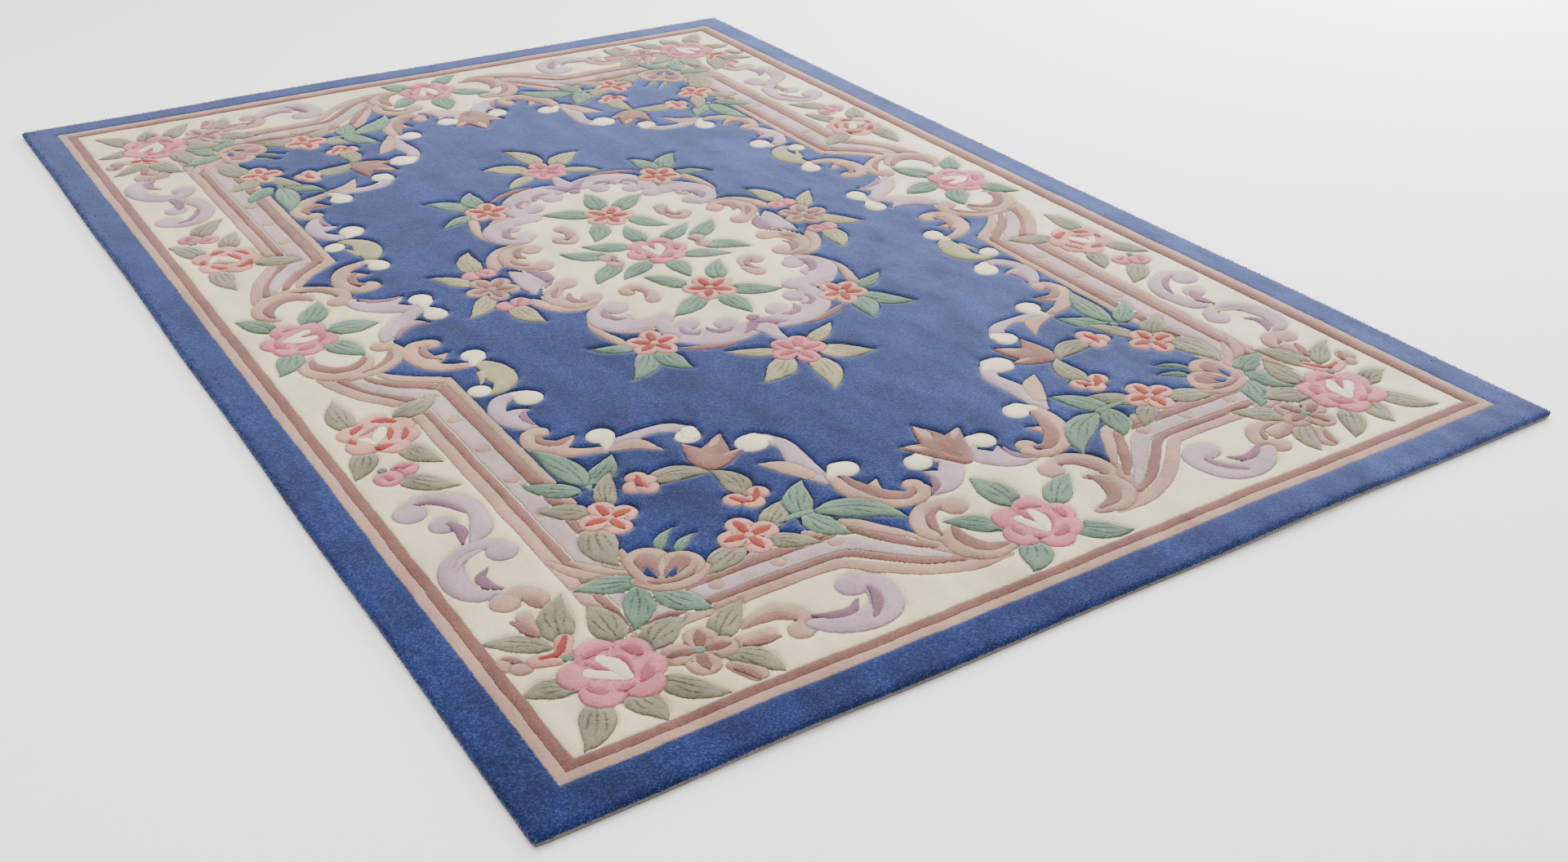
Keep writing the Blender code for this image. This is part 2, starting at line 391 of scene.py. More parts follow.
def moulding():
    """The stepped moulding of one quarter, with its studs."""
    strokes = brush(
        "peach", (-20.4, -116.8, 0.9), (-19.8, -119.4, 1.4), (-19, -122.2, 1.6), (-17.6, -125.2, 1.3),
        cut=0.6)
    for s in STRIPES:
        long_run = ((s.long_x, s.short_y, s.half), (s.long_x, s.short_y + 12, s.half),
                    (s.long_x, -60, s.half))
        short_run = ((s.long_x, s.short_y, s.half), (s.long_x + 10, s.short_y, s.half),
                     (-50, s.short_y, s.half))
        strokes += brush(s.yarn, *long_run, *s.long_flare, cut=0.6)
        strokes += brush(s.yarn, *short_run, *s.short_flare, cut=0.6)
    for y in LONG_STUDS:
        strokes += ball("peach", -66.9, y, 1.2, cut=0.5)
    for x in SHORT_STUDS:
        strokes += ball("peach", x, -111.2, 1.2, cut=0.5)
    strokes += brush("peach", (-72.4, -93, 0.6), (-70.2, -97.5, 1.1), (-65.5, -102.5, 0.9), cut=0.6)
    strokes += brush("sand", (-69.4, -94.5, 0.4), (-67.6, -97.8, 0.9), (-64, -101.3, 0.8), cut=0.6)
    strokes += brush("peach", (-66, -95.5, 0.4), (-64.8, -98.5, 0.8), (-62.6, -100.5, 0.6), cut=0.6)
    strokes += brush("peach", (-35.5, -107.6, 0.9), (-33, -106.9, 1), (-30.3, -108.9, 0.9), cut=0.6)
    strokes += line("rosewood", (-35, -108.8, 0.5), (-32.8, -108.4, 0.8), (-30.5, -109.7, 0.4))
    return strokes


def border_scrolls():
    """The loose scrolls on the cream band of one quarter."""
    long_side = (
        brush("lavender", (-82.5, -96.3, 0.9), (-85.3, -94.4, 1.8), (-86.5, -90.5, 2.2), (-85.3, -86.3, 2),
              (-82.3, -83.4, 1.6), (-79, -82.9, 1.5), (-76.8, -84.2, 1.6))
        + ball("lavender", -77, -86.2, 2.5)
        + line("plum", (-80.8, -89.2, 0.2), (-82.7, -91, 0.9), (-82.5, -93.5, 1), (-81, -95.4, 0.3))
        + line("lilac", (-85.6, -88, 0.2), (-83.5, -85.6, 0.6), (-81, -84.5, 0.6), (-79.5, -84.3, 0.2))
        + brush("lavender", (-85, -67.2, 1.4), (-82, -65.9, 1.3), (-78.5, -67.3, 1.6), (-76, -71, 1.7),
                (-75.8, -75, 1.6), (-77.3, -79, 1.9), (-79.8, -81.4, 0.5))
        + ball("lavender", -84.9, -69, 2.8)
        + ball("lavender", -81.7, -74.8, 2.3)
        + line("plum", (-83.5, -66.9, 0.2), (-80.8, -67.8, 0.7), (-78.7, -70, 0.7), (-77.3, -73.2, 0.3))
        + line("plum", (-80.9, -75, 0.6), (-80.1, -77.8, 1.1), (-81.2, -81, 0.3))
        + brush("peach", (-81.5, -97.3, 1.2), (-78.8, -97.8, 1.7), (-77.2, -100.5, 1.3), (-78, -102.7, 0.3))
        + ball("peach", -82.3, -98.7, 2.4)
        + line("rosewood", (-79.8, -99.4, 0.2), (-78.8, -101.2, 0.9), (-78.3, -103, 0.3))
    )
    short_side = (
        brush("peach", (-57.5, -121.9, 0.4), (-53.5, -120.9, 1), (-49.5, -121.2, 1.5), (-47.2, -124.2, 1.4),
              (-48.2, -126.2, 1.5))
        + ball("peach", -49.2, -127, 2.2)
        + line("rosewood", (-56.5, -122.5, 0.3), (-53, -122.2, 0.8), (-50.5, -122.7, 0.9),
               (-48.7, -124.4, 0.4))
        + brush("lavender", (-46.9, -126.9, 1.3), (-43.5, -128.9, 2.3), (-39.2, -130, 2.5),
                (-35.6, -128.8, 2.7), (-33.9, -125.6, 2.5), (-33.7, -122.4, 2.2), (-35.4, -120.9, 1.9))
        + ball("lavender", -37, -121.9, 2.5)
        + line("plum", (-46, -125.2, 0.3), (-43.5, -126.7, 0.9), (-40.5, -127, 0.9), (-38.4, -125.4, 0.3))
        + line("plum", (-38.6, -130.2, 0.3), (-36.6, -128.2, 0.9), (-35.2, -125.8, 0.9),
               (-34.9, -123.6, 0.4))
    )
    return long_side + short_side


def corner_bouquet():
    """The rose, leaves, buds and small dusty flower in the corner of the cream band."""
    leaves = leaves_of(
        "sage", (-82.6, -121.6, -90, -119.8, 4.5, -0.12), (-81.5, -125.5, -87.6, -134, 5.2, 0.1),
        (-77.5, -126.5, -75.2, -134.2, 4.8, 0.1), (-71.5, -126, -64.7, -134.1, 4.8, -0.06),
        (-69.6, -119.2, -61.3, -115.5, 5.6, 0.1), (-72.6, -115, -72.6, -105.3, 5.4, -0.04),
        (-79, -111, -74.2, -100.8, 5.4, 0.1), (-81.5, -111.5, -90, -105.8, 4.2, -0.06),
        (-60.4, -122.4, -52.5, -116.1, 5, 0.04), (-61, -126, -56.3, -134, 5.2, 0.1))
    buds = (
        brush("peach", (-81.4, -103.6, 1.4), (-81.9, -107.2, 1.1))
        + line("rosewood", (-83.5, -103.8, 0.4), (-82.6, -106, 0.9), (-81.7, -108.4, 0.5))
        + ball("peach", -88, -112, 1.9)
        + ball("peach", -86.8, -113.9, 1.6)
        + line("rosewood", (-88, -110.8, 0.4), (-87, -112, 0.6), (-86, -113.4, 0.3))
        + brush("salmon", (-84.4, -113.6, 1.5), (-81.6, -114.6, 1.4))
        + brush("salmon", (-78.9, -111, 1.4), (-80.2, -113.6, 1.3))
        + line("coral", (-83.6, -113.4, 0.5), (-81, -113.5, 0.6), (-79.6, -112, 0.6), (-78.6, -110.6, 0.4))
        + ball("teal", -80.3, -115.2, 0.8, cut=0.5)
    )
    small_flower = (
        brush("peach", (-61.8, -129, 1.2), (-60, -132.2, 1.7))
        + line("rosewood", (-62, -129.6, 0.4), (-60.8, -131.4, 0.8), (-60.3, -133.2, 0.4))
        + brush("peach", (-58, -124.6, 1.3), (-54, -125.3, 1.5))
        + line("rosewood", (-57.8, -125.6, 0.4), (-55.4, -126.5, 0.8), (-52.9, -126.8, 0.4))
        + blossom((-64, -123.5), 5.5, (165, 62, -13, -106), "peach", "dusty", "teal", 0.48)
    )
    return leaves + buds + small_flower + rose((-76.3, -121), 8.1, 14)


def long_side_rose():
    """The coral rose on the long side's cream band, with its leaves and a pink bud."""
    leaves = leaves_of("sage", (-83.2, -38.5, -82.6, -27, 4.8, 0.06), (-74.8, -38.2, -66, -34.4, 5, -0.04),
                       (-84.2, -46.5, -89, -55.2, 4.8, 0.08), (-77.8, -48.5, -73.9, -56.8, 4.6, -0.06),
                       (-81.8, -57.6, -74.2, -65.2, 5, -0.08))
    bud = (
        ball("rose", -80.3, -55.4, 2.3) + ball("rose", -83.7, -57, 2.5)
        + line("carmine", (-84.6, -55.6, 0.2), (-83.8, -57.2, 0.8), (-83, -58.4, 0.2))
        + line("carmine", (-81.6, -54.4, 0.2), (-80.2, -55, 0.6), (-78.6, -55, 0.2))
        + ball("teal", -83.7, -54.2, 0.8, cut=0.5)
    )
    return leaves + bud + coral_rose((-79.9, -42.8), 7.3)


def long_bay():
    """The scrolls round the pink rose in the middle of the left side, for its near half."""
    return (
        brush("sand", (-80, -9.2, 0.5), (-82.3, -11.4, 1.2), (-82.1, -15.4, 1.5), (-79.2, -18.7, 1.6),
              (-74.8, -19.2, 1.4), (-71.6, -16.6, 0.9), (-71.3, -14.4, 0.3))
        + line("rosewood", (-80.4, -10.8, 0.4), (-80.6, -13.6, 1.1), (-78.4, -16.4, 1.2),
               (-75.4, -17.2, 1.1), (-72.9, -15.8, 0.8), (-71.8, -14.2, 0.3))
        + brush("sand", (-77, -21.2, 0.6), (-72.2, -20.6, 1.3), (-68.2, -18.4, 1.6), (-65.4, -15.2, 1.5),
                (-65.7, -12.4, 1.4))
        + ball("sand", -67.3, -11.6, 2.2)
        + line("rosewood", (-74, -19.9, 0.3), (-70.6, -19, 0.7), (-68, -16.9, 0.8), (-66.6, -14, 0.3))
        + brush("lavender", (-66, -9.6, 0.8), (-63.6, -6.6, 2.2), (-59.8, -3.2, 2.2), (-56.4, -1, 1.5),
                (-54, -1.2, 1.3))
        + brush("lavender", (-61.4, -5.6, 1.7), (-58.4, -5.6, 1.4), (-55.8, -6.9, 0.2))
        + line("plum", (-63.6, -9.9, 0.3), (-61.6, -7.6, 0.8), (-58.6, -6.6, 0.6), (-56.4, -6.9, 0.2))
        + ball("white", -53.2, -4, 2.3)
        + brush("white", (-53, -2.6, 1.8), (-53.6, -0.9, 1))
        + brush("sand", (-55.8, -27, 0.9), (-60.4, -25.6, 1.4), (-63.2, -22.4, 1.7), (-64, -18.2, 1.7),
                (-62.4, -14.8, 1.4), (-59.8, -14.2, 1.2))
        + brush("sand", (-62.4, -22.4, 1.6), (-60.2, -21.6, 1.3), (-57.8, -20.6, 0.2))
        + ball("sand", -59.2, -15.3, 2)
        + line("rosewood", (-59.9, -22.4, 0.3), (-61.3, -20.6, 0.8), (-61.5, -17.8, 0.8), (-60, -16, 0.4))
    )


def short_bay():
    """The scrolls round the pink rose in the middle of the near side, for its left half."""
    return (
        brush("peach", (-13.4, -117.2, 0.4), (-16.4, -119.6, 1.5), (-16.7, -123.4, 1.8),
              (-13.2, -126.3, 1.8), (-8.8, -126.2, 0.9))
        + line("rosewood", (-14.2, -117.4, 0.4), (-15, -121.2, 1.3), (-13.2, -124.8, 1.2),
               (-9.4, -125.8, 0.5))
        + brush("peach", (-17.6, -120.2, 0.5), (-18.9, -117, 1.3), (-18, -113.4, 1.5), (-14.8, -110.9, 1.5),
                (-11.8, -111.4, 1.4))
        + ball("peach", -10.3, -112.8, 2.3)
        + line("rosewood", (-17.2, -118.6, 0.3), (-16.6, -115.4, 0.8), (-15, -112.8, 0.8),
               (-12.6, -111.9, 0.3))
        + brush("lavender", (-10.6, -108.4, 0.5), (-7.6, -107, 2), (-4.4, -104.4, 2.3), (-2.4, -100.8, 1.8),
                (-4.4, -98.4, 1.3))
        + brush("lavender", (-7.4, -106.2, 1.5), (-6.6, -103.8, 1.2), (-7.9, -101.8, 0.2))
        + line("plum", (-11.2, -108.2, 0.2), (-8.9, -106.4, 0.8), (-8, -104, 0.5), (-8.3, -102.6, 0.2))
        + ball("white", -7, -98.8, 2.4)
        + brush("white", (-5.6, -97.7, 1.5), (-3.6, -98.5, 0.7))
    )


def field_scrolls():
    """The chain of scrolls that frames the blue field, for one quarter."""
    side = (
        brush("olive", (-55.2, -27, 0.8), (-53.6, -29.6, 2.2), (-53.1, -33, 2.9), (-53.5, -36.4, 2.2),
              (-55.6, -38.7, 1.3), (-58, -39.2, 0.5))
        + brush("olive", (-55.8, -31.4, 1), (-57.4, -35, 0.2), cut=0.6)
        + ball("white", -54.2, -23.8, 2.3) + brush("white", (-54, -24.8, 1.8), (-55.6, -27, 0.8))
        + ball("white", -58.8, -37.3, 2.1)
        + brush("lavender", (-54, -41.6, 1), (-57.2, -42.6, 1.6), (-59.3, -45.8, 1.6), (-59, -49.6, 2),
                (-57.3, -53, 1.6), (-55.6, -55.4, 0.5))
        + brush("lavender", (-58, -48.2, 1.4), (-56.6, -48, 1.2), (-54.5, -47.9, 0.2))
        + line("plum", (-55.6, -48.6, 0.3), (-56.4, -50.8, 0.7), (-56, -53.4, 0.4))
        + ball("white", -52.5, -44.1, 2.6) + brush("white", (-52.6, -42.8, 1.8), (-54.4, -41.5, 0.7))
        + brush("sand", (-49.4, -67.4, 0.9), (-53.4, -66, 1.3), (-57.2, -63.6, 1.9), (-59.2, -60, 1.6),
                (-58.6, -56.6, 1.3), (-56.6, -55.4, 1))
        + brush("sand", (-57.4, -62.6, 1.8), (-54.6, -61.9, 1.5), (-51.8, -60.4, 0.2))
        + ball("sand", -56.3, -56.4, 1.7)
        + line("rosewood", (-56.9, -57.6, 0.3), (-57.6, -59.6, 0.9), (-55.6, -61.6, 1), (-52.8, -60.9, 0.3))
        + brush("lavender", (-49.6, -67.9, 0.7), (-45.6, -66.6, 1.7), (-41, -65.8, 1.2), (-37, -66.6, 1.5),
                (-34.4, -69.2, 1.5))
        + brush("sand", (-48.6, -68.2, 0.6), (-44.4, -68.6, 1.7), (-41.3, -72.7, 0.2), cut=0.6)
        + ball("white", -47.9, -62.9, 2.5) + brush("white", (-47.4, -64.2, 1.5), (-49, -67.2, 0.6))
        + ball("white", -35.4, -71, 2.3) + brush("white", (-34.4, -69.6, 1.5), (-34.8, -71, 1.7), cut=0.5)
    )
    near = (
        brush("lavender", (-24.6, -78.6, 1.6), (-22.9, -82, 1.6), (-23.4, -86.4, 2), (-24.2, -91, 2.4),
              (-23.4, -95.4, 1.2))
        + brush("sand", (-24.9, -92.6, 1.4), (-27, -88.4, 1.8), (-30, -85.4, 0.2), cut=0.6)
        + ball("white", -27.2, -78.7, 2.9) + brush("white", (-26, -77.4, 1.6), (-23.9, -79, 0.9))
        + brush("sand", (-22.2, -94.6, 0.9), (-22, -98.8, 1.6), (-20.8, -103.4, 2), (-17.4, -106.9, 1.7),
                (-13.2, -107.9, 1.3), (-10.9, -105.8, 1.1))
        + brush("sand", (-19.4, -103.6, 1.6), (-18.2, -101.6, 1.3), (-16.2, -99.6, 0.2))
        + ball("sand", -12.1, -104.2, 1.9)
        + line("rosewood", (-20.6, -95.2, 0.3), (-20, -99.2, 1), (-18.4, -103.4, 1.4), (-15, -106.3, 1.1),
               (-12.5, -105, 0.3))
        + ball("white", -18.6, -94, 2.4) + brush("white", (-19.6, -93, 1.5), (-21.9, -94.8, 0.9))
    )
    palmette = (
        brush("rosewood", (-38.6, -82.8, 0.5), (-37, -78.6, 2.4), (-37.6, -73, 0.3))
        + brush("rosewood", (-38.4, -82.4, 0.5), (-34.6, -78.6, 2.6), (-30.4, -73.4, 0.3))
        + brush("rosewood", (-38.6, -82.6, 0.5), (-34.6, -80.8, 1.8), (-29.8, -79.8, 0.3))
        + line("sand", (-34.6, -76.6, 0.2), (-32.4, -75.2, 0.8), (-30.8, -73.6, 0.1))
        + line("sand", (-33.6, -79.8, 0.2), (-31.6, -79.9, 0.5), (-29.9, -79.8, 0.1))
    )
    return side + near + palmette


def middle_palmette():
    """The brown palmette at the near end of the field."""
    return (
        brush("rosewood", (0, -102.6, 1.2), (-1.8, -97.6, 2.5), (-6.6, -93.8, 0.4))
        + brush("rosewood", (0.2, -102.6, 1.2), (1.8, -97.4, 2.4), (5.8, -93.4, 0.4))
        + brush("rosewood", (0, -102.4, 1.2), (-0.2, -95.4, 2.9), (-0.6, -88.8, 0.3))
        + line("sand", (-0.4, -94, 0.3), (-0.5, -92, 1.1), (-0.6, -89.2, 0.1))
        + line("sand", (2.8, -95.8, 0.3), (4.2, -94.6, 0.8), (5.6, -93.5, 0.1))
        + line("sand", (-3.2, -96, 0.3), (-4.8, -94.9, 0.8), (-6.3, -93.9, 0.1))
        + line("dusty", (-1.4, -97.2, 0.1), (-0.8, -99.4, 0.5), (0, -101.6, 0.3))
    )


def corner_spray():
    """The ring of leaves, coral flowers and a pansy in the corner of the blue field."""
    leaves = (
        leaves_of("teal", (-59.5, -77, -66.6, -70.3, 4.4, 0.06), (-56.6, -75.8, -49.2, -69.3, 4.4, -0.08))
        + line("teal", (-57.2, -80, 0.4), (-57.4, -76.8, 0.6), (-58.3, -73.4, 0.3))
        + leaf("teal", (-57.7, -75.4), (-60.5, -61), 5.2, -0.06)
        + leaves_of("sage", (-57.4, -83.6, -52, -74.2, 4, 0.06), (-61, -84, -67.9, -79.3, 4.6, -0.06),
                    (-61.6, -88.2, -63.6, -99.6, 6.2, -0.12), (-47.6, -80.6, -37.8, -83.6, 4.8, 0.16),
                    (-37.2, -91.6, -38.4, -82.4, 4.8, -0.16), (-39.2, -102.6, -30.8, -96.6, 4.4, 0.06),
                    (-45.2, -104.6, -54.4, -108.3, 5, -0.04), (-41, -105.2, -33.8, -110.2, 4.2, 0.04))
        + leaves_of("teal", (-32.4, -102, -26.6, -93.2, 5, 0.08), (-32.2, -102.6, -28.6, -110.8, 5, -0.06))
        + line("teal", (-36.6, -101.8, 0.5), (-31.6, -102, 0.7), (-27, -103.4, 0.4))
        + leaves_of("teal", (-29.4, -102.6, -18.4, -112, 5.4, 0.14), (-56.6, -98.6, -51.4, -94.2, 1.9, 0.1),
                    (-54.4, -100.5, -49.3, -97.4, 1.9, 0.1), (-63.5, -104.6, -73.2, -101.4, 4.6, -0.06),
                    (-64.6, -106, -69.6, -114.7, 5.2, 0.06), (-62, -107.8, -56.9, -116.2, 5, -0.04))
    )
    buds = (
        ball("salmon", -49.3, -78.3, 2) + ball("salmon", -51, -80.6, 1.9) + ball("salmon", -49, -81.8, 1.9)
        + ball("salmon", -48, -80, 1.4, cut=0.3)
        + line("coral", (-48.9, -77.8, 0.3), (-49.7, -80, 0.7), (-49.2, -82, 0.3))
        + ball("salmon", -39.2, -92.6, 1.9) + ball("salmon", -34.8, -92.5, 1.9)
        + ball("salmon", -36.9, -94.6, 1.9)
        + line("coral", (-39.6, -91.8, 0.4), (-38.6, -93.2, 0.7), (-37.2, -94.6, 0.4))
        + line("coral", (-34.5, -91.6, 0.3), (-35.6, -93.2, 0.6), (-37, -94.6, 0.3))
    )
    flowers = (
        blossom((-58.8, -86.6), 5, (88, 5, 182, -85), spread=0.48)
        + blossom((-42.7, -102.5), 5.2, (90, 4, 176, -90), spread=0.48)
    )
    pansy = (
        brush("peach", (-63.2, -104.2, 1.2), (-60.6, -106.8, 1.7), (-56, -107.6, 1.7), (-53, -106, 1.2))
        + brush("peach", (-59.6, -100.6, 3.8), (-60.6, -103.6, 3), cut=0.7)
        + brush("peach", (-55.6, -103.8, 3.6), (-58.4, -105, 2.4), cut=0.7)
        + line("rosewood", (-59.8, -100.2, 1.8), (-60.4, -103.4, 1.5))
        + line("rosewood", (-55.4, -103.2, 1.7), (-58.4, -104.9, 1.1))
        + line("blue", (-60.5, -102, 0.3), (-61, -103.4, 0.8), (-60.6, -104.8, 0.3))
        + line("blue", (-56.8, -104.2, 0.2), (-58, -105.2, 0.6), (-59.2, -105.6, 0.3))
        + line("peach", (-57.4, -101.4, 0.3), (-58.6, -103, 0.5), (-59.6, -104.8, 0.3))
        + line("rosewood", (-62.4, -105, 0.2), (-60, -106.5, 0.5), (-56, -106.8, 0.5), (-53.4, -105.2, 0.2))
    )
    return leaves + buds + flowers + pansy


def bay_rose_long():
    """The pink rose in the middle of the left side, with its six teal leaves."""
    leaves = leaves_of("teal", (-73, 0, -63.6, -1.6, 6, 0.04), (-82.6, -5.4, -87.6, -13.6, 5.2, 0.08),
                       (-75.8, -5, -71.2, -13.9, 5.6, 0.08), (-82.6, 5.2, -87.8, 13, 5, -0.06),
                       (-76.2, 5.2, -70.6, 14.2, 5.6, -0.06))
    return leaves + rose((-79.5, -0.6), 7.4, -106)


def bay_rose_short():
    """The pink rose in the middle of the near side, with its teal leaves."""
    leaves = leaves_of("teal", (-1.6, -117.4, -2.9, -107, 5.9, -0.04), (-8, -121.6, -15, -115.3, 4.9, -0.08),
                       (4.2, -121, 12.5, -115, 5, 0.08), (-6.6, -126.8, -11.7, -133.6, 5.4, 0.12),
                       (2.6, -127.4, 10, -133.4, 5, -0.1))
    return leaves + rose((-2, -123.6), 7.6, -14)


def medallion_ring():
    """The scrolls round the medallion, for one quarter."""
    return (
        brush("lavender", (-31.4, -5.8, 0.4), (-30.6, -3.2, 1.9), (-29.6, 0, 2.9), (-29.4, 1, 2.9))
        + line("plum", (-28.3, -4.9, 0.3), (-26.9, -2.4, 1.2), (-26.2, 0, 1.5), (-26.2, 1, 1.5))
        + brush("sand", (-34.6, -6.6, 0.3), (-33.2, -9.2, 1.3), (-31.2, -12.8, 2), (-28, -15.6, 2),
                (-24, -16.9, 1))
        + brush("peach", (-25.4, -5.2, 1.4), (-28.2, -7.6, 1.8), (-29.2, -10.8, 2), (-26.8, -14.6, 1.9),
                (-23.2, -14.9, 1.5))
        + ball("peach", -24.2, -5.1, 2.3) + ball("peach", -22.7, -13.4, 2.1)
        + line("rosewood", (-25.6, -9.8, 0.3), (-26.6, -11.8, 0.9), (-25.8, -14, 0.8), (-24.2, -14.8, 0.3))
        + line("rosewood", (-26.6, -6.4, 0.3), (-28.6, -8.4, 0.7), (-28.9, -10.8, 0.2))
        + brush("sand", (-26.8, -20, 0.3), (-28.6, -24.2, 0.7), (-28.4, -28.4, 1), (-27.3, -32.2, 1.2),
                (-26.4, -36, 0.6))
        + brush("lavender", (-22, -18.4, 1.7), (-25, -20.6, 2.3), (-25.6, -24.2, 2.9), (-23.6, -27.4, 2.9),
                (-20.6, -28.9, 2.5), (-17.6, -28.6, 2.1))
        + ball("lavender", -20.9, -20.2, 2.3) + ball("lavender", -21.6, -25.2, 1.8)
        + line("plum", (-23, -19.4, 0.2), (-24.2, -21.8, 1), (-23, -24.6, 0.7), (-21.4, -25.2, 0.2))
        + brush("sand", (-24.4, -30.2, 0.3), (-21.2, -31.4, 0.9), (-18.2, -31.6, 0.4), cut=0.6)
        + brush("lavender", (-16.2, -29.6, 1.6), (-16.3, -33.6, 2.4), (-14.8, -37.6, 3), (-11.2, -40.3, 3.2),
                (-6.4, -41, 3.2), (-2, -40.6, 2.6))
        + ball("lavender", -15.2, -28.6, 2.3) + ball("lavender", -12.6, -33.2, 2.4)
        + ball("lavender", -6, -36.6, 2.3)
        + line("dusty", (-19.4, -41, 0.2), (-15, -43.2, 0.8), (-10.6, -44.4, 0.7), (-7.6, -44.4, 0.2))
        + line("plum", (-10.2, -36.6, 0.3), (-9.4, -38.8, 0.9), (-7.2, -39.6, 0.7), (-5.6, -38.9, 0.2))
        + line("plum", (-14.6, -33.8, 0.2), (-14.8, -36.4, 0.7), (-13, -37.8, 0.6), (-11.8, -37, 0.2))
    )


def medallion_tail():
    """The purple crest and tail at the near end of the medallion."""
    return (
        brush("lavender", (0, -41, 2.7), (0, -44.8, 1.6), (0.2, -49, 0.8))
        + line("plum", (-5.6, -42.6, 0.2), (-3, -41.2, 0.9), (-1, -39.4, 1.2), (0, -38.6, 1.3))
        + line("plum", (5.6, -42.6, 0.2), (3, -41.2, 0.9), (1, -39.4, 1.2), (0, -38.6, 1.3))
        + ball("plum", 0, -37.2, 1.3, cut=0.5)
    )


def medallion_flower():
    """The coral flower inside the medallion's near end, with its leaves, for the whole width."""
    leaves = []
    for side in (-1, 1):
        leaves += leaf("teal", (side * 4, -18.4), (side * 9.4, -10.2), 4.6, side * 0.08)
        leaves += leaf("teal", (side * 3.6, -23.4), (side * 13, -29), 5.2, side * -0.06)
        leaves += (
            brush("peach", (side * 12, -14.8, 0.6), (side * 11.7, -17.4, 1.3), (side * 12.5, -20.2, 1.6))
            + as_one(
                ball("peach", side * 15.3, -14.9, 1.6),
                brush("peach", (side * 15.9, -14, 1), (side * 13.8, -12.9, 1.2), (side * 12.2, -14.2, 1),
                      (side * 11.6, -16.2, 0.4)))
            + line("rosewood", (side * 14.6, -14.6, 0.3), (side * 12.9, -15, 0.7), (side * 12.6, -17.2, 0.5),
                   (side * 13.2, -19, 0.2))
        )
    leaves += leaf("teal", (0, -25.6), (1.2, -35.2), 5.2, 0.06)
    return leaves + blossom((0, -21.4), 5.6, (88, 20, -48, -128, 160), heart="olive")


def medallion_rose():
    """The pink rose in the middle of the rug, with its teal leaves and two brown buds."""
    strokes = []
    for side in (-1, 1):
        for end in (-1, 1):
            strokes += leaf("teal", (side * 10.4, end * 2.6), (side * 18.8, end * 8.8),
                            4.8, side * end * -0.08)
            strokes += leaf("teal", (side * 4, end * 4.6), (side * 13.2, end * 9.8), 4.6, side * end * -0.06)
            strokes += ball("peach", side * 10.8, end * 1.6, 1.9)
        strokes += line("rosewood", (side * 9.4, 1.8, 0.3), (side * 10.2, 0, 0.7), (side * 9.6, -1.8, 0.3))
    strokes += leaf("teal", (0, -5.4), (-0.8, -15.2), 4.6, 0.04)
    strokes += leaf("teal", (0, 5.4), (0.6, 15), 4.6, 0.04)
    return strokes + rose((0, 0), 6.9, -28)


def medallion_corner_flower():
    """The coral flower outside the medallion's shoulder, with its three leaves."""
    leaves = leaves_of("teal", (-25.4, -36.2, -34, -32.6, 3.4, 0.08), (-24.6, -39, -32.4, -47.6, 5, 0.1),
                       (-22.4, -40.4, -20.4, -49.2, 4.8, -0.1))
    return leaves + blossom((-21.8, -36.7), 5.2, (75, 0, -72, -150, 148), heart="olive")


def medallion_end_flower():
    """The pink flower beyond the medallion's near end, with five leaves."""
    leaves = []
    for side in (-1, 1):
        leaves += leaf("olive", (side * 3.6, -51.2), (side * 12, -46.4), 3.4, side * -0.06)
        leaves += leaf("olive", (side * 3.8, -54.6), (side * 12.6, -60.2), 5.4, side * -0.08)
    leaves += leaf("olive", (0.3, -57), (-3, -68.8), 5.2, 0.12)
    return leaves + blossom((0.1, -52.8), 5.6, (118, 58, -8, -88, 188), "rose", "carmine", "sand", 0.42)


def medallion_side_flower():
    """The peach flower beside the medallion, with two leaves and two pink buds."""
    strokes = leaf("olive", (-40.4, -2.4), (-47.2, -9.4), 4.4, 0.1)
    strokes += leaf("olive", (-40.6, 3.6), (-47, 11.4), 3.8, -0.06)
    for end, tip in ((-1, (-35, -18.6)), (1, (-34.4, 19.2))):
        strokes += leaf("olive", (-37.2, end * 9), tip, 5, end * 0.1)
        strokes += ball("rose", -38.8, end * 8, 2) + ball("rose", -35.6, end * 7.8, 2.1)
        strokes += line("carmine", (-36.6, end * 9, 0.2), (-35.6, end * 7.6, 0.6), (-35, end * 6.6, 0.2))
    return strokes + blossom((-37.8, 0.3), 5.6, (40, -24, -92, 182, 108), "peach", "rosewood", "olive", 0.38)


def mirrored(strokes, flip_x, flip_y):
    """The same strokes on the other side of one or both middle lines."""
    flip = np.array((-1.0 if flip_x else 1, -1.0 if flip_y else 1, 1))
    return [s._replace(rows=s.rows * flip) for s in strokes]


def in_quarters(strokes):
    """Strokes of the near left quarter, in all four quarters."""
    return [
        s for flip_x in (False, True) for flip_y in (False, True)
        for s in mirrored(strokes, flip_x, flip_y)
    ]


def at_both_ends(strokes):
    """Strokes across the near end, at both ends."""
    return strokes + mirrored(strokes, False, True)


def on_both_sides(strokes):
    """Strokes of the left side, on both sides."""
    return strokes + mirrored(strokes, True, False)


# How far each corner's bouquet was tufted from its drawn place, in centimetres
Stray = namedtuple("Stray", "flip_x flip_y x y")
BOUQUET_STRAYS = (
    Stray(False, False, 0, 0), Stray(True, False, -2.2, 1.6),
    Stray(False, True, 1.4, -3.2), Stray(True, True, -0.8, -0.8),
)


# How far the medallion and all round it were tufted from their drawn place, in centimetres, and how
# much they were drawn out along the rug
MEDALLION_STRAY = (-1.2, 0.6)
MEDALLION_STRETCH = 1.03


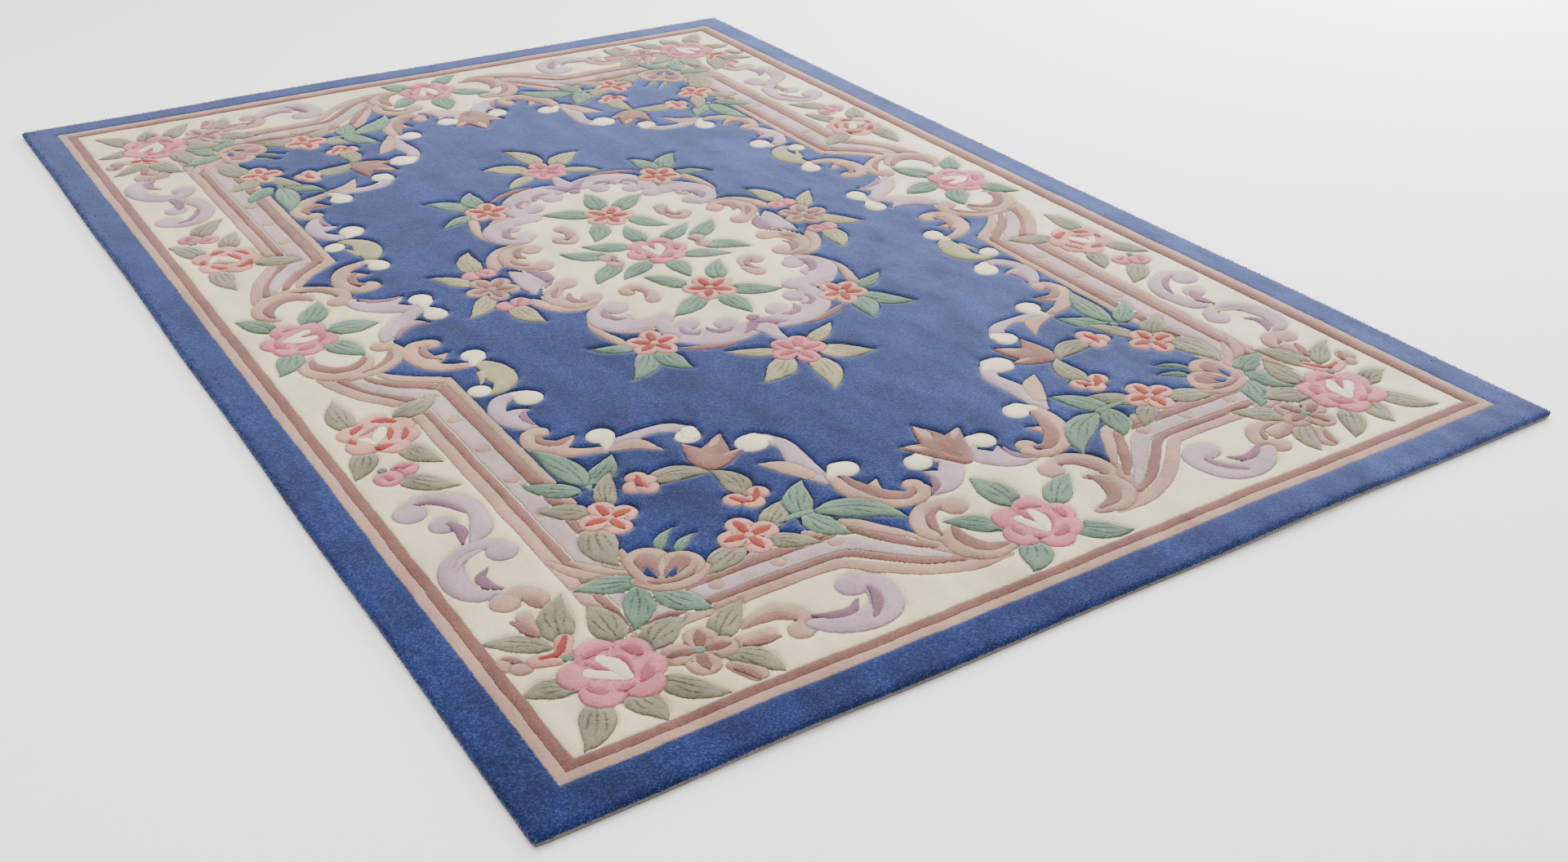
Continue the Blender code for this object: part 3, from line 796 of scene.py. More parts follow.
def medallion():
    """The medallion with the flowers in it and round it, in its tufted place."""
    drawn = (
        merged(in_quarters(medallion_ring()))
        + merged(at_both_ends(medallion_tail()))
        + in_quarters(medallion_corner_flower())
        + on_both_sides(medallion_side_flower())
        + at_both_ends(medallion_flower() + medallion_end_flower())
        + medallion_rose()
    )
    return [
        s._replace(rows=s.rows * (1, MEDALLION_STRETCH, 1) + (*MEDALLION_STRAY, 0)) for s in drawn
    ]


def bouquets():
    """The bouquets of the four corners."""
    strokes = []
    for stray in BOUQUET_STRAYS:
        own = mirrored(corner_bouquet(), stray.flip_x, stray.flip_y)
        strokes += placed(own, (stray.x, stray.y))
    return strokes


def design():
    """All the strokes of the rug, in the order in which they lie over one another."""
    return (
        in_quarters(moulding())
        + merged(in_quarters(border_scrolls() + long_bay() + short_bay() + field_scrolls()))
        + merged(at_both_ends(middle_palmette()))
        + in_quarters(corner_spray())
        + bouquets()
        + in_quarters(long_side_rose())
        + on_both_sides(bay_rose_long())
        + at_both_ends(bay_rose_short())
        + medallion()
    )


# The outline of the blue field and of the cream medallion for the near left quarter, in
# centimetres. Both run under the scrolls and the moulding.
FIELD_OUTLINE = (
    (0, -101.5), (-3, -102.5), (-6.5, -106.5), (-10.5, -108.2), (-15, -109.5), (-18, -112.5),
    (-19.5, -117.5), (-24.4, -112), (-28, -107.4), (-62, -107), (-62.2, -31), (-67, -27.9), (-70.4, -24.6),
    (-72.4, -21), (-70, -19.6), (-66.5, -17), (-65, -13), (-63.8, -8), (-60, -4), (-56.5, -1.5), (-55, 0),
)
MEDALLION_OUTLINE = (
    (0, -41), (-7, -41.5), (-12.5, -39.5), (-15, -36), (-15.6, -31), (-21, -28.6), (-25, -26.5),
    (-26, -22.5), (-24, -18.2), (-27, -15), (-30.6, -12), (-31, -8.5), (-29, -5), (-29.4, 0),
)


# Working the strokes out

Shape = namedtuple("Shape", "yarn cut part seam veined body rings low high")


def smooth_rows(rows, step):
    """A Catmull-Rom curve through the rows, with points about step apart.

    Between rows b and c, with a before and d after, the curve at t is half of
    2b + (c - a)t + (2a - 5b + 4c - d)t^2 + (3b - 3c + d - a)t^3.
    """
    padded = np.vstack((2 * rows[0] - rows[1], rows, 2 * rows[-1] - rows[-2]))
    pieces = []
    for a, b, c, d in zip(padded, padded[1:], padded[2:], padded[3:]):
        count = max(2, int(math.ceil(np.linalg.norm((c - b)[:2]) / step)))
        t = (np.arange(count) / count)[:, None]
        curve = 2 * b + (c - a) * t + (2 * a - 5 * b + 4 * c - d) * t ** 2 + (3 * b - 3 * c + d - a) * t ** 3
        pieces.append(0.5 * curve)
    pieces.append(rows[-1:])
    return np.vstack(pieces)


# The half width of a stroke's very end, the least along its body, and the one that needs a round end
POINT = 0.25 * MM
LEAST_HALF = 0.2 * MM
BLUNT_HALF = 1.6 * MM
CAP_ANGLES = np.radians((90, 70, 48, 24))
# A stroke has two more columns for each of this much half width
COLUMN_SPAN = 9 * MM


def with_caps(body):
    """The rings of a stroke: its body, with half circles where its ends aren't points.

    At an angle a past the end, a ring lies sin(a) half widths beyond it and is cos(a) as wide.
    """
    def cap(end, before):
        if end[2] < BLUNT_HALF:
            return np.empty((0, 3))
        ahead = end[:2] - before[:2]
        ahead = ahead / max(np.linalg.norm(ahead), 1e-9)
        places = end[:2] + np.outer(np.sin(CAP_ANGLES) * end[2], ahead)
        return np.column_stack((places, np.cos(CAP_ANGLES) * end[2]))

    rings = np.vstack((cap(body[0], body[1]), body, cap(body[-1], body[-2])[::-1]))
    rings[:, 2] = np.maximum(rings[:, 2], POINT)
    return rings


def shapes(strokes, step):
    """Each stroke worked out in metres: its body for measuring, its rings and its reach."""
    result = []
    for s in strokes:
        rows = s.rows * CM
        body = smooth_rows(rows, step)
        body[:, 2] = np.maximum(body[:, 2], LEAST_HALF)
        wide = body[:, 2].max()
        result.append(Shape(
            s.yarn, s.cut, s.part, s.seam, s.veined, body, with_caps(body),
            body[:, :2].min(0) - wide, body[:, :2].max(0) + wide,
        ))
    return result


def outside(shape, points):
    """How far points are outside a shape's outline, negative inside it.

    Each span of the body is a cone: the distance to the nearest place on its line, less the
    half width there.
    """
    a, b = shape.body[:-1], shape.body[1:]
    along = b[:, :2] - a[:, :2]
    run = np.maximum((along ** 2).sum(1), 1e-12)
    offset = points[:, None, :] - a[None, :, :2]
    t = np.clip((offset * along).sum(2) / run, 0, 1)
    gap = offset - t[..., None] * along
    return (np.sqrt((gap ** 2).sum(2)) - (a[:, 2] + t * (b[:, 2] - a[:, 2]))).min(1)


def lattice_noise(x, y, cell, seed):
    """Smooth random values from -1 to 1, with features about one cell wide."""
    rng = np.random.default_rng(seed)
    table = rng.uniform(-1, 1, (256, 256))
    u, v = x / cell, y / cell
    i, j = np.floor(u).astype(int), np.floor(v).astype(int)
    s, t = u - i, v - j
    s, t = s * s * (3 - 2 * s), t * t * (3 - 2 * t)
    i0, i1, j0, j1 = i % 256, (i + 1) % 256, j % 256, (j + 1) % 256
    low = table[i0, j0] * (1 - s) + table[i1, j0] * s
    high = table[i0, j1] * (1 - s) + table[i1, j1] * s
    return low * (1 - t) + high * t


def smooth_step(value, start, end):
    """0 at start and 1 at end, with a smooth ramp between."""
    t = np.clip((value - start) / (end - start), 0, 1)
    return t * t * (3 - 2 * t)


def lift_at(x, y):
    """How far the underside is off the floor, as in the frame's solids."""
    insets = {
        "near": (HALF_LENGTH + y, x), "far": (HALF_LENGTH - y, x),
        "left": (HALF_WIDTH + x, y), "right": (HALF_WIDTH - x, y),
    }
    total = np.zeros_like(x)
    for lift in LIFTS:
        inset, along = insets[lift.side]
        inwards = np.clip(1 - inset / FLAT_INSET, 0, None)
        total = total + lift.height * inwards * smooth_step(np.abs(along - lift.middle), lift.reach, 0.0)
    return total


def pile_top(x, y):
    """The height of the shorn pile away from any groove, with its slow roll and uneven tufts."""
    height = PILE_TOP + lift_at(x, y)
    for uneven in UNEVENNESS:
        height = height + uneven.height * lattice_noise(x, y, uneven.cell, uneven.seed)
    return height


def wobble(points):
    """The points moved sideways a little, as hand tufting strays from the drawn line.

    The move fades out towards the edge, where the cut has its own stray.
    """
    x, y = points[:, 0].copy(), points[:, 1].copy()
    inset = np.minimum(HALF_WIDTH - np.abs(x), HALF_LENGTH - np.abs(y))
    share = smooth_step(inset, STRAY_START, STRAY_FULL)
    for axis, seed in ((0, 21), (1, 31)):
        slow = DRIFT * lattice_noise(x, y, DRIFT_WAVE, seed)
        quick = SHAKE * lattice_noise(x, y, SHAKE_WAVE, seed + 1)
        points[:, axis] += share * (slow + quick)
    return points


def groove(distance, cut, sizes):
    """The depth of a groove at a distance from its line.

    It is the sum of two bell curves, exp(-d^2): a narrow cut, and a wider and shallower one.
    """
    away = np.maximum(distance, 0) / sizes.groove_width
    profile = NARROW_SHARE * np.exp(-away ** 2) + WIDE_SHARE * np.exp(-(away / WIDER) ** 2)
    return cut * sizes.groove_depth * profile


def sunk(distance, cut, sizes):
    """How far the pile lies down at a distance from a stroke over it, and under that stroke."""
    return groove(distance, cut, sizes) + np.minimum(np.maximum(-distance, 0), TUCK)


def carve_distance(distance, cut):
    """The distance that the carved line's shade goes by: a shallow cut counts as further off."""
    return distance + (1 - cut) * SHADE_SHIFT


def outside_near(shape, points):
    """The indices of the points in reach of a shape, and how far they are outside it."""
    low, high = shape.low - REACH, shape.high + REACH
    near = np.flatnonzero(((points > low) & (points < high)).all(1))
    gap = outside(shape, points[near])
    return near[gap < REACH], gap[gap < REACH]


def meeting(shape, others):
    """The other shapes whose reach meets this one's."""
    return [
        o for o in others
        if (o.low < shape.high + REACH).all() and (o.high > shape.low - REACH).all()
    ]


def stroke_mesh(shape, above, kin, sizes, tint):
    """The closed block of pile of one stroke.

    Its rings run along the stroke, and its columns across it, closer together at its edges. Its
    top swells by 1 - exp(-e / reach) at e from the edge of its part, and falls into the groove
    there. Where another stroke of its part is the deeper one, it lies a little lower, and where
    both are as deep there is a crease. Two columns below the edges close its underside.
    """
    rings = shape.rings
    ahead = np.gradient(rings[:, :2], axis=0)
    ahead /= np.maximum(np.linalg.norm(ahead, axis=1, keepdims=True), 1e-9)
    side = np.column_stack((-ahead[:, 1], ahead[:, 0]))
    columns = 2 * int(math.ceil(rings[:, 2].max() / COLUMN_SPAN)) + 3
    across = np.sin(np.linspace(-math.pi / 2, math.pi / 2, columns))
    flat = rings[:, None, :2] + across[None, :, None] * rings[:, None, 2:] * side[:, None, :]
    points = flat.reshape(-1, 2)
    own = np.maximum(-outside(shape, points), 0)
    deepest = np.zeros_like(own)
    for other in kin:
        near, gap = outside_near(other, points)
        deepest[near] = np.maximum(deepest[near], -gap)
    depth_in = np.maximum(own, deepest)
    sink = groove(depth_in, shape.cut, sizes)
    carve = carve_distance(depth_in, shape.cut)
    if shape.seam > 0:
        crease = np.where(deepest > 0, np.abs(own - deepest) / 2, REACH)
        sink = np.maximum(sink, groove(crease, shape.seam, sizes))
        carve = np.minimum(carve, carve_distance(crease, shape.seam))
    sink += np.clip(SLUMP * (deepest - own), 0, SLUMP_MOST)
    for other in above:
        near, gap = outside_near(other, points)
        sink[near] = np.maximum(sink[near], sunk(gap, other.cut, sizes))
        carve[near] = np.minimum(carve[near], carve_distance(gap, other.cut))
    swell = sizes.swell * (0.5 + 0.5 * shape.cut)
    top = pile_top(points[:, 0], points[:, 1])
    height = top + swell * (1 - np.exp(-depth_in / SWELL_REACH)) - sink
    n, m = len(rings), columns
    z = height.reshape(n, m)
    if shape.veined:
        z[:, m // 2] -= MIDRIB_DEPTH * np.clip(rings[:, 2] / MIDRIB_WIDE, 0, 1)
    solid = np.empty((n, m + 2, 3))
    solid[:, 1:-1, :2], solid[:, 1:-1, 2] = flat, z
    solid[:, 0], solid[:, -1] = solid[:, 1], solid[:, -2]
    solid[:, 0, 2] = np.minimum(z[:, 0] - 0.5 * MM, STROKE_FLOOR)
    solid[:, -1, 2] = np.minimum(z[:, -1] - 0.5 * MM, STROKE_FLOOR)
    share = np.linspace(0, 1, n)[:, None] if shape.veined else np.ones((n, 1))
    carve = carve.reshape(n, m)
    carve = np.column_stack((carve[:, :1], carve, carve[:, -1:]))
    values = {
        "carve": carve,
        "along": np.broadcast_to(share, (n, m + 2)),
        "across": np.broadcast_to(np.concatenate(((-1,), across, (1,))), (n, m + 2)),
        "tint": np.full((n, m + 2), tint),
    }
    return solid, {name: np.ascontiguousarray(v).reshape(-1) for name, v in values.items()}


def tube_faces(rings, columns):
    """Quads round a closed tube of rings, and the two end faces."""
    index = np.arange(rings * columns).reshape(rings, columns)
    right = np.roll(index, -1, axis=1)
    quads = np.stack((index[:-1], index[1:], right[1:], right[:-1]), axis=-1).reshape(-1, 4)
    return quads, index[0], index[-1][::-1]


def mesh_object(name, points, quads, values=None, ends=()):
    """A smooth mesh object from points, quads and end faces, with its point attributes."""
    mesh = bpy.data.meshes.new(name)
    sizes_of = [4] * len(quads) + [len(e) for e in ends]
    corners = np.concatenate([np.asarray(quads).reshape(-1)] + [np.asarray(e) for e in ends])
    mesh.vertices.add(len(points))
    mesh.vertices.foreach_set("co", np.asarray(points, np.float32).reshape(-1))
    mesh.loops.add(len(corners))
    mesh.loops.foreach_set("vertex_index", corners.astype(np.int32))
    mesh.polygons.add(len(sizes_of))
    starts = np.concatenate(((0,), np.cumsum(sizes_of)[:-1])).astype(np.int32)
    mesh.polygons.foreach_set("loop_start", starts)
    mesh.update(calc_edges=True)
    mesh.validate()
    for key, array in (values or {}).items():
        attribute = mesh.attributes.new(key, "FLOAT", "POINT")
        attribute.data.foreach_set("value", np.asarray(array, np.float32))
    mesh.shade_smooth()
    piece = bpy.data.objects.new(name, mesh)
    bpy.context.scene.collection.objects.link(piece)
    return piece


def joined_strokes(name, chosen, everything, sizes):
    """One mesh of all the chosen strokes, each lying under the later ones that meet it."""
    points, quads, ends, values, count = [], [], [], {}, 0
    rng = np.random.default_rng(len(name))
    for order in chosen:
        shape = everything[order]
        met = meeting(shape, everything)
        kin = [o for o in met if o.part is not None and o.part is shape.part and o is not shape]
        later = meeting(shape, everything[order + 1:])
        above = [o for o in later if o.part is None or o.part is not shape.part]
        solid, parts = stroke_mesh(shape, above, kin, sizes, rng.uniform(-1, 1))
        n, m = solid.shape[:2]
        faces, first, last = tube_faces(n, m)
        points.append(solid.reshape(-1, 3))
        quads.append(faces + count)
        ends += [first + count, last + count]
        for key, array in parts.items():
            values.setdefault(key, []).append(array)
        count += n * m
    joined = {key: np.concatenate(arrays) for key, arrays in values.items()}
    return mesh_object(name, wobble(np.vstack(points)), np.vstack(quads), joined, ends)


def inside_outline(x, y, outline):
    """Whether points lie inside a quarter's outline mirrored to all four, by counting crossings."""
    corners = np.array(outline) * CM
    x, y = -np.abs(x) - 1e-6, -np.abs(y) - 1e-6
    hits = np.zeros(x.shape, bool)
    loop = np.vstack((corners, ((0.0, 0.0),)))
    for (ax, ay), (bx, by) in zip(loop, np.roll(loop, -1, axis=0)):
        if ay == by:
            continue
        crosses = (ay > y) != (by > y)
        hits ^= crosses & (x < (bx - ax) * (y - ay) / (by - ay) + ax)
    return hits


def ground_field(xs, ys, everything):
    """For each point of the ground grid, its distance outside the nearest stroke, and its cut."""
    distance = np.full((len(xs), len(ys)), REACH)
    cut = np.ones_like(distance)
    for shape in everything:
        i0, i1 = np.searchsorted(xs, (shape.low[0] - REACH, shape.high[0] + REACH))
        j0, j1 = np.searchsorted(ys, (shape.low[1] - REACH, shape.high[1] + REACH))
        gx, gy = np.meshgrid(xs[i0:i1], ys[j0:j1], indexing="ij")
        if gx.size == 0:
            continue
        gap = outside(shape, np.column_stack((gx.ravel(), gy.ravel()))).reshape(gx.shape)
        block = distance[i0:i1, j0:j1]
        closer = gap < block
        block[closer] = gap[closer]
        cut[i0:i1, j0:j1][closer] = shape.cut
    return distance, cut


def add_node(tree, kind, settings=None, **links):
    """Adds a shader node, sets its properties and inputs, and links inputs to other outputs.

    Its kind goes without the ShaderNode that starts its name. A key of settings that names or
    counts an input sets its value, and any other sets a property. A link goes to the input of its
    name, or i0, i1 and so on to the input of that place.
    """
    node = tree.nodes.new("ShaderNode" + kind)
    for key, value in (settings or {}).items():
        if isinstance(key, int) or key in node.inputs:
            node.inputs[key].default_value = value
        else:
            setattr(node, key, value)
    for key, output in links.items():
        place = int(key[1:]) if key[0] == "i" and key[1:].isdigit() else key.replace("_", " ")
        tree.links.new(output, node.inputs[place])
    return node


# Sizes of what the wool shows: a tuft's grain, the raggedness of a carved edge, a patch of nap
TUFT = 3.6 * MM
RAGGED = 5.0 * MM
MOTTLE = 70 * MM
# How far a carved edge's shade reaches into the pile, and how far it strays from that
SHADE_REACH = 4.4 * MM
SHADE_STRAY = 1.3 * MM
# How strongly pale tips, dark gaps and patches of nap show in a yarn whose grain is 1
TIPS = 0.7
GAPS = 0.8
NAP = 0.40
# How much one stroke's brightness may differ from the next one's
STROKE_TINT = 0.035
# The painted sheen goes by X and a little by Y, from this share of the half width to the right edge
SHEEN_RAMP_TURN = 0.12
SHEEN_RAMP_START = -0.3


def wool_material(yarn, colour, veined=False):
    """Wool yarn, tufted and sheared: matt and velvety.

    Its cut ends give a fine grain of light tips and dark gaps, and its nap lies in slow patches that look
    lighter or darker. Along the carved edges its deeper colour is painted in as the grooves' shade, where
    the darker sides of the tufts show, and a painted sheen makes the pile paler towards the right.
    """
    deep, light = to_linear(YARNS[yarn].deep), to_linear(YARNS[yarn].light)
    grained, groove_shade_strength, lie = YARNS[yarn].grain, YARNS[yarn].edge, YARNS[yarn].lie
    material = bpy.data.materials.new(f"sheared_wool_{yarn}")
    material.use_nodes = True
    tree = material.node_tree
    shader = tree.nodes["Principled BSDF"]
    place = add_node(tree, "TexCoord").outputs["Object"]
    grain = add_node(
        tree, "TexNoise", {"Scale": 1 / TUFT, "Detail": 3.0, "Roughness": 0.72}, Vector=place)
    brushed = add_node(tree, "Mapping", {"Scale": (1.0, 0.45, 1.0)}, Vector=place)
    nap = add_node(
        tree, "TexNoise", {"Scale": 1 / MOTTLE, "Detail": 4.0, "Roughness": 0.62},
        Vector=brushed.outputs[0])
    ragged = add_node(tree, "TexNoise", {"Scale": 1 / RAGGED, "Detail": 1.0}, Vector=place)
    shift = add_node(
        tree, "MapRange",
        {"From Min": 0.30, "From Max": 0.70, "To Min": -SHADE_STRAY, "To Max": SHADE_STRAY},
        Value=ragged.outputs["Fac"])
    line_at = add_node(tree, "Attribute", {"attribute_name": "carve"})
    carve = add_node(
        tree, "Math", {"operation": "ADD"}, i0=line_at.outputs["Fac"], i1=shift.outputs[0])
    tint = add_node(tree, "Attribute", {"attribute_name": "tint"})
    tips = add_node(
        tree, "MapRange", {"From Min": 0.48, "From Max": 0.76, "To Min": 0.0, "To Max": TIPS * grained},
        Value=grain.outputs["Fac"])
    gaps = add_node(
        tree, "MapRange", {"From Min": 0.50, "From Max": 0.24, "To Min": 0.0, "To Max": GAPS * grained},
        Value=grain.outputs["Fac"])
    naps = add_node(
        tree, "MapRange",
        {"From Min": 0.33, "From Max": 0.67, "To Min": 1 - NAP * grained, "To Max": 1 + NAP * grained},
        Value=nap.outputs["Fac"])
    # Painted shade: near a carved line the deeper colour is mixed in as the groove's shade, where the darker
    # sides of the tufts show
    edge = add_node(
        tree, "MapRange",
        {"interpolation_type": "SMOOTHSTEP", "From Min": 0.0, "From Max": SHADE_REACH,
         "To Min": groove_shade_strength, "To Max": 0.0},
        Value=carve.outputs[0])
    tinted = add_node(
        tree, "Math", {"operation": "MULTIPLY_ADD", 1: STROKE_TINT},
        i0=tint.outputs["Fac"], i2=naps.outputs[0])
    # Painted sheen: the colour is mixed towards the paler one to the right and a little towards the far end
    axes = add_node(tree, "SeparateXYZ", Vector=place)
    over = add_node(
        tree, "Math", {"operation": "MULTIPLY_ADD", 1: SHEEN_RAMP_TURN},
        i0=axes.outputs["Y"], i2=axes.outputs["X"])
    painted_sheen_ramp = add_node(
        tree, "MapRange",
        {"From Min": SHEEN_RAMP_START * HALF_WIDTH, "From Max": HALF_WIDTH, "To Min": 0.0, "To Max": lie},
        Value=over.outputs[0])
    sheen_painted = add_node(
        tree, "Mix", {"data_type": "RGBA", 6: colour, 7: light}, i0=painted_sheen_ramp.outputs[0])
    lit = add_node(
        tree, "Mix", {"data_type": "RGBA", 7: light}, i0=tips.outputs[0], i6=sheen_painted.outputs[2])
    shaded = add_node(
        tree, "Mix", {"data_type": "RGBA", 7: deep}, i0=gaps.outputs[0], i6=lit.outputs[2])
    # The painted groove shade goes on last, over the grain
    last = add_node(
        tree, "Mix", {"data_type": "RGBA", 7: deep}, i0=edge.outputs[0], i6=shaded.outputs[2])
    rise = add_node(
        tree, "MapRange",
        {"interpolation_type": "SMOOTHSTEP", "From Min": 0.0, "From Max": 4.5 * MM,
         "To Min": 0.0, "To Max": 1.1},
        Value=carve.outputs[0])
    height = add_node(
        tree, "Math", {"operation": "ADD"}, i0=rise.outputs[0], i1=grain.outputs["Fac"])
    if veined:
        # Painted shade in the carved veins: the deeper colour is mixed in along them, broken up by noise,
        # and the bump dips there too
        vein_breaks = add_node(
            tree, "MapRange", {"From Min": 0.36, "From Max": 0.56, "To Min": 0.25, "To Max": 1.0},
            Value=ragged.outputs["Fac"])
        vein = add_node(
            tree, "Math", {"operation": "MULTIPLY"}, i0=vein_mask(tree).outputs[0], i1=vein_breaks.outputs[0])
        last = add_node(
            tree, "Mix", {"data_type": "RGBA", 7: deep}, i0=vein.outputs[0], i6=last.outputs[2])
        height = add_node(
            tree, "Math", {"operation": "SUBTRACT"}, i0=height.outputs[0], i1=vein.outputs[0])
    value = add_node(
        tree, "HueSaturation", {"Saturation": 1.0}, Color=last.outputs[2], Value=tinted.outputs[0])
    bump = add_node(tree, "Bump", {"Strength": 0.8, "Distance": 1.1 * MM}, Height=height.outputs[0])
    tree.links.new(value.outputs["Color"], shader.inputs["Base Color"])
    tree.links.new(bump.outputs["Normal"], shader.inputs["Normal"])
    shader.inputs["Roughness"].default_value = 0.92
    shader.inputs["Specular IOR Level"].default_value = 0.12
    shader.inputs["Sheen Weight"].default_value = 0.6
    shader.inputs["Sheen Roughness"].default_value = 0.35
    sheen = [0.35 + 0.65 * c / max(light[:3]) for c in light[:3]]
    shader.inputs["Sheen Tint"].default_value = (*sheen, 1.0)
    return material


def vein_mask(tree):
    """Near 1 on a leaf's carved veins: its midrib, and a short cut either side of it.

    The midrib is where the place across the leaf is near 0. The short cuts run outwards from it,
    where the place across is 1.1 times the place along, less 0.06, in the leaf's middle third.
    """
    across = add_node(tree, "Attribute", {"attribute_name": "across"}).outputs["Fac"]
    along = add_node(tree, "Attribute", {"attribute_name": "along"}).outputs["Fac"]
    out = add_node(tree, "Math", {"operation": "ABSOLUTE"}, i0=across).outputs[0]
    rib = add_node(
        tree, "MapRange", {"From Min": 0.03, "From Max": 0.13, "To Min": 0.95, "To Max": 0.0}, Value=out)
    rib_end = add_node(
        tree, "MapRange", {"From Min": 0.55, "From Max": 0.80, "To Min": 1.0, "To Max": 0.0}, Value=along)
    slant = add_node(tree, "Math", {"operation": "MULTIPLY_ADD", 1: -1.1, 2: 0.06}, i0=along)
    beside = add_node(tree, "Math", {"operation": "ADD"}, i0=out, i1=slant.outputs[0])
    beside = add_node(tree, "Math", {"operation": "ABSOLUTE"}, i0=beside.outputs[0])
    cuts = add_node(
        tree, "MapRange", {"From Min": 0.02, "From Max": 0.12, "To Min": 0.9, "To Max": 0.0},
        Value=beside.outputs[0])
    middle = add_node(tree, "Math", {"operation": "SUBTRACT", 1: 0.50}, i0=along)
    middle = add_node(tree, "Math", {"operation": "ABSOLUTE"}, i0=middle.outputs[0])
    stretch = add_node(
        tree, "MapRange", {"From Min": 0.10, "From Max": 0.17, "To Min": 1.0, "To Max": 0.0},
        Value=middle.outputs[0])
    rib = add_node(tree, "Math", {"operation": "MULTIPLY"}, i0=rib.outputs[0], i1=rib_end.outputs[0])
    cuts = add_node(tree, "Math", {"operation": "MULTIPLY"}, i0=cuts.outputs[0], i1=stretch.outputs[0])
    return add_node(tree, "Math", {"operation": "MAXIMUM"}, i0=rib.outputs[0], i1=cuts.outputs[0])


THREAD = 2.4 * MM


def canvas_material():
    """Cotton canvas, plain woven and undyed, and grey with latex: matt, with an even square weave.

    Its threads are about half as wide on the real cloth and are drawn coarser so that they show.
    """
    material = bpy.data.materials.new("plain_woven_canvas")
    material.use_nodes = True
    tree = material.node_tree
    shader = tree.nodes["Principled BSDF"]
    place = add_node(tree, "TexCoord").outputs["Object"]
    weave = add_node(
        tree, "TexChecker",
        {"Scale": 1 / THREAD, "Color1": to_linear("#655E54"), "Color2": to_linear("#524C42")},
        Vector=place)
    dust = add_node(tree, "TexNoise", {"Scale": 40.0, "Detail": 4.0}, Vector=place)
    stained = add_node(
        tree, "Mix", {"data_type": "RGBA", 7: to_linear("#6E685E")},
        i0=dust.outputs["Fac"], i6=weave.outputs["Color"])
    bump = add_node(
        tree, "Bump", {"Strength": 0.5, "Distance": 0.5 * MM}, Height=weave.outputs["Fac"])
    tree.links.new(stained.outputs[2], shader.inputs["Base Color"])
    tree.links.new(bump.outputs["Normal"], shader.inputs["Normal"])
    shader.inputs["Roughness"].default_value = 0.9
    return material


def yarn_material(yarn, veined=False):
    """The material of a yarn, made once."""
    name = f"sheared_wool_{yarn}"
    if name in bpy.data.materials:
        return bpy.data.materials[name]
    colour = tuple(getattr(bpy.context.scene.rug_colours, yarn))
    return wool_material(yarn, colour, veined)


def settle(piece, node="wool_pile"):
    """Makes a piece ride on the rug and stand for its solid."""
    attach(piece, "root")
    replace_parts(piece, node)
    return piece


WORK = {}


def worked_out():
    """The whole design in metres, worked out once."""
    if "shapes" not in WORK:
        WORK["shapes"] = shapes(design(), bpy.context.scene.rug_sizes.stroke_step)
    return WORK["shapes"]


class RUG_OT_motifs(bpy.types.Operator):
    """Builds the moulding, scrolls, leaves and flowers, one piece for each yarn"""

    bl_idname = "rug.motifs"
    bl_label = "Motifs"

    def execute(self, context):
        sizes = context.scene.rug_sizes
        everything = worked_out()
        for yarn in YARNS:
            chosen = [i for i, s in enumerate(everything) if s.yarn == yarn]
            if not chosen:
                continue
            piece = joined_strokes(f"{yarn}_motifs", chosen, everything, sizes)
            piece.data.materials.append(yarn_material(yarn, yarn in LEAF_YARNS))
            settle(piece)
        return {"FINISHED"}


class RUG_OT_ground(bpy.types.Operator):
    """Builds the plain blue and cream pile between the motifs"""

    bl_idname = "rug.ground"
    bl_label = "Ground pile"

    def execute(self, context):
        sizes = context.scene.rug_sizes
        half_x = HALF_WIDTH - GROUND_INSET + GROUND_LAP
        half_y = HALF_LENGTH - GROUND_INSET + GROUND_LAP
        xs = np.linspace(-half_x, half_x, int(2 * half_x / sizes.ground_step) + 1)
        ys = np.linspace(-half_y, half_y, int(2 * half_y / sizes.ground_step) + 1)
        distance, cut = ground_field(xs, ys, worked_out())
        gx, gy = np.meshgrid(xs, ys, indexing="ij")
        edge = np.minimum(half_x - GROUND_LAP - np.abs(gx), half_y - GROUND_LAP - np.abs(gy))
        closer = edge < distance
        distance = np.where(closer, edge, distance)
        cut = np.where(closer, GROUND_CUT, cut)
        height = pile_top(gx, gy) - sunk(distance, cut, sizes)
        points = np.stack((gx, gy, height), -1).reshape(-1, 3)
        carve = carve_distance(distance, cut).reshape(-1)
        index = np.arange(points.shape[0]).reshape(gx.shape)
        quads = np.stack((index[:-1, :-1], index[1:, :-1], index[1:, 1:], index[:-1, 1:]), -1)
        outmost = np.maximum.reduce(
            (distance[:-1, :-1], distance[1:, :-1], distance[1:, 1:], distance[:-1, 1:]))
        shown = outmost > -GROUND_HIDDEN
        mid_x, mid_y = (gx[:-1, :-1] + gx[1:, 1:]) / 2, (gy[:-1, :-1] + gy[1:, 1:]) / 2
        blue = inside_outline(mid_x, mid_y, FIELD_OUTLINE)
        medal = inside_outline(
            mid_x - MEDALLION_STRAY[0] * CM, (mid_y - MEDALLION_STRAY[1] * CM) / MEDALLION_STRETCH,
            MEDALLION_OUTLINE)
        zones = {
            "near_field_pile": ("blue", blue & ~medal & (mid_y < 0)),
            "far_field_pile": ("blue", blue & ~medal & (mid_y >= 0)),
            "cream_band_pile": ("cream", ~blue),
            "medallion_pile": ("cream", medal),
        }
        for name, (yarn, zone) in zones.items():
            chosen = quads[zone & shown]
            used, corners = np.unique(chosen, return_inverse=True)
            values = {"carve": carve[used], "tint": np.zeros(len(used))}
            piece = mesh_object(name, wobble(points[used]), corners.reshape(-1, 4), values)
            piece.data.materials.append(yarn_material(yarn))
            settle(piece)
        return {"FINISHED"}


def edge_stray(p, q):
    """How far the cut edge strays inwards at a place on the unit square, as in the solids."""
    along = np.where(np.abs(p) == 1.0, q, p)
    wave = 0.5 + 0.5 * np.sin(STRAY_WAVES * along + 2 * p + 4 * q)
    return EDGE_STRAY * (1 - np.abs(along) ** 6) * wave


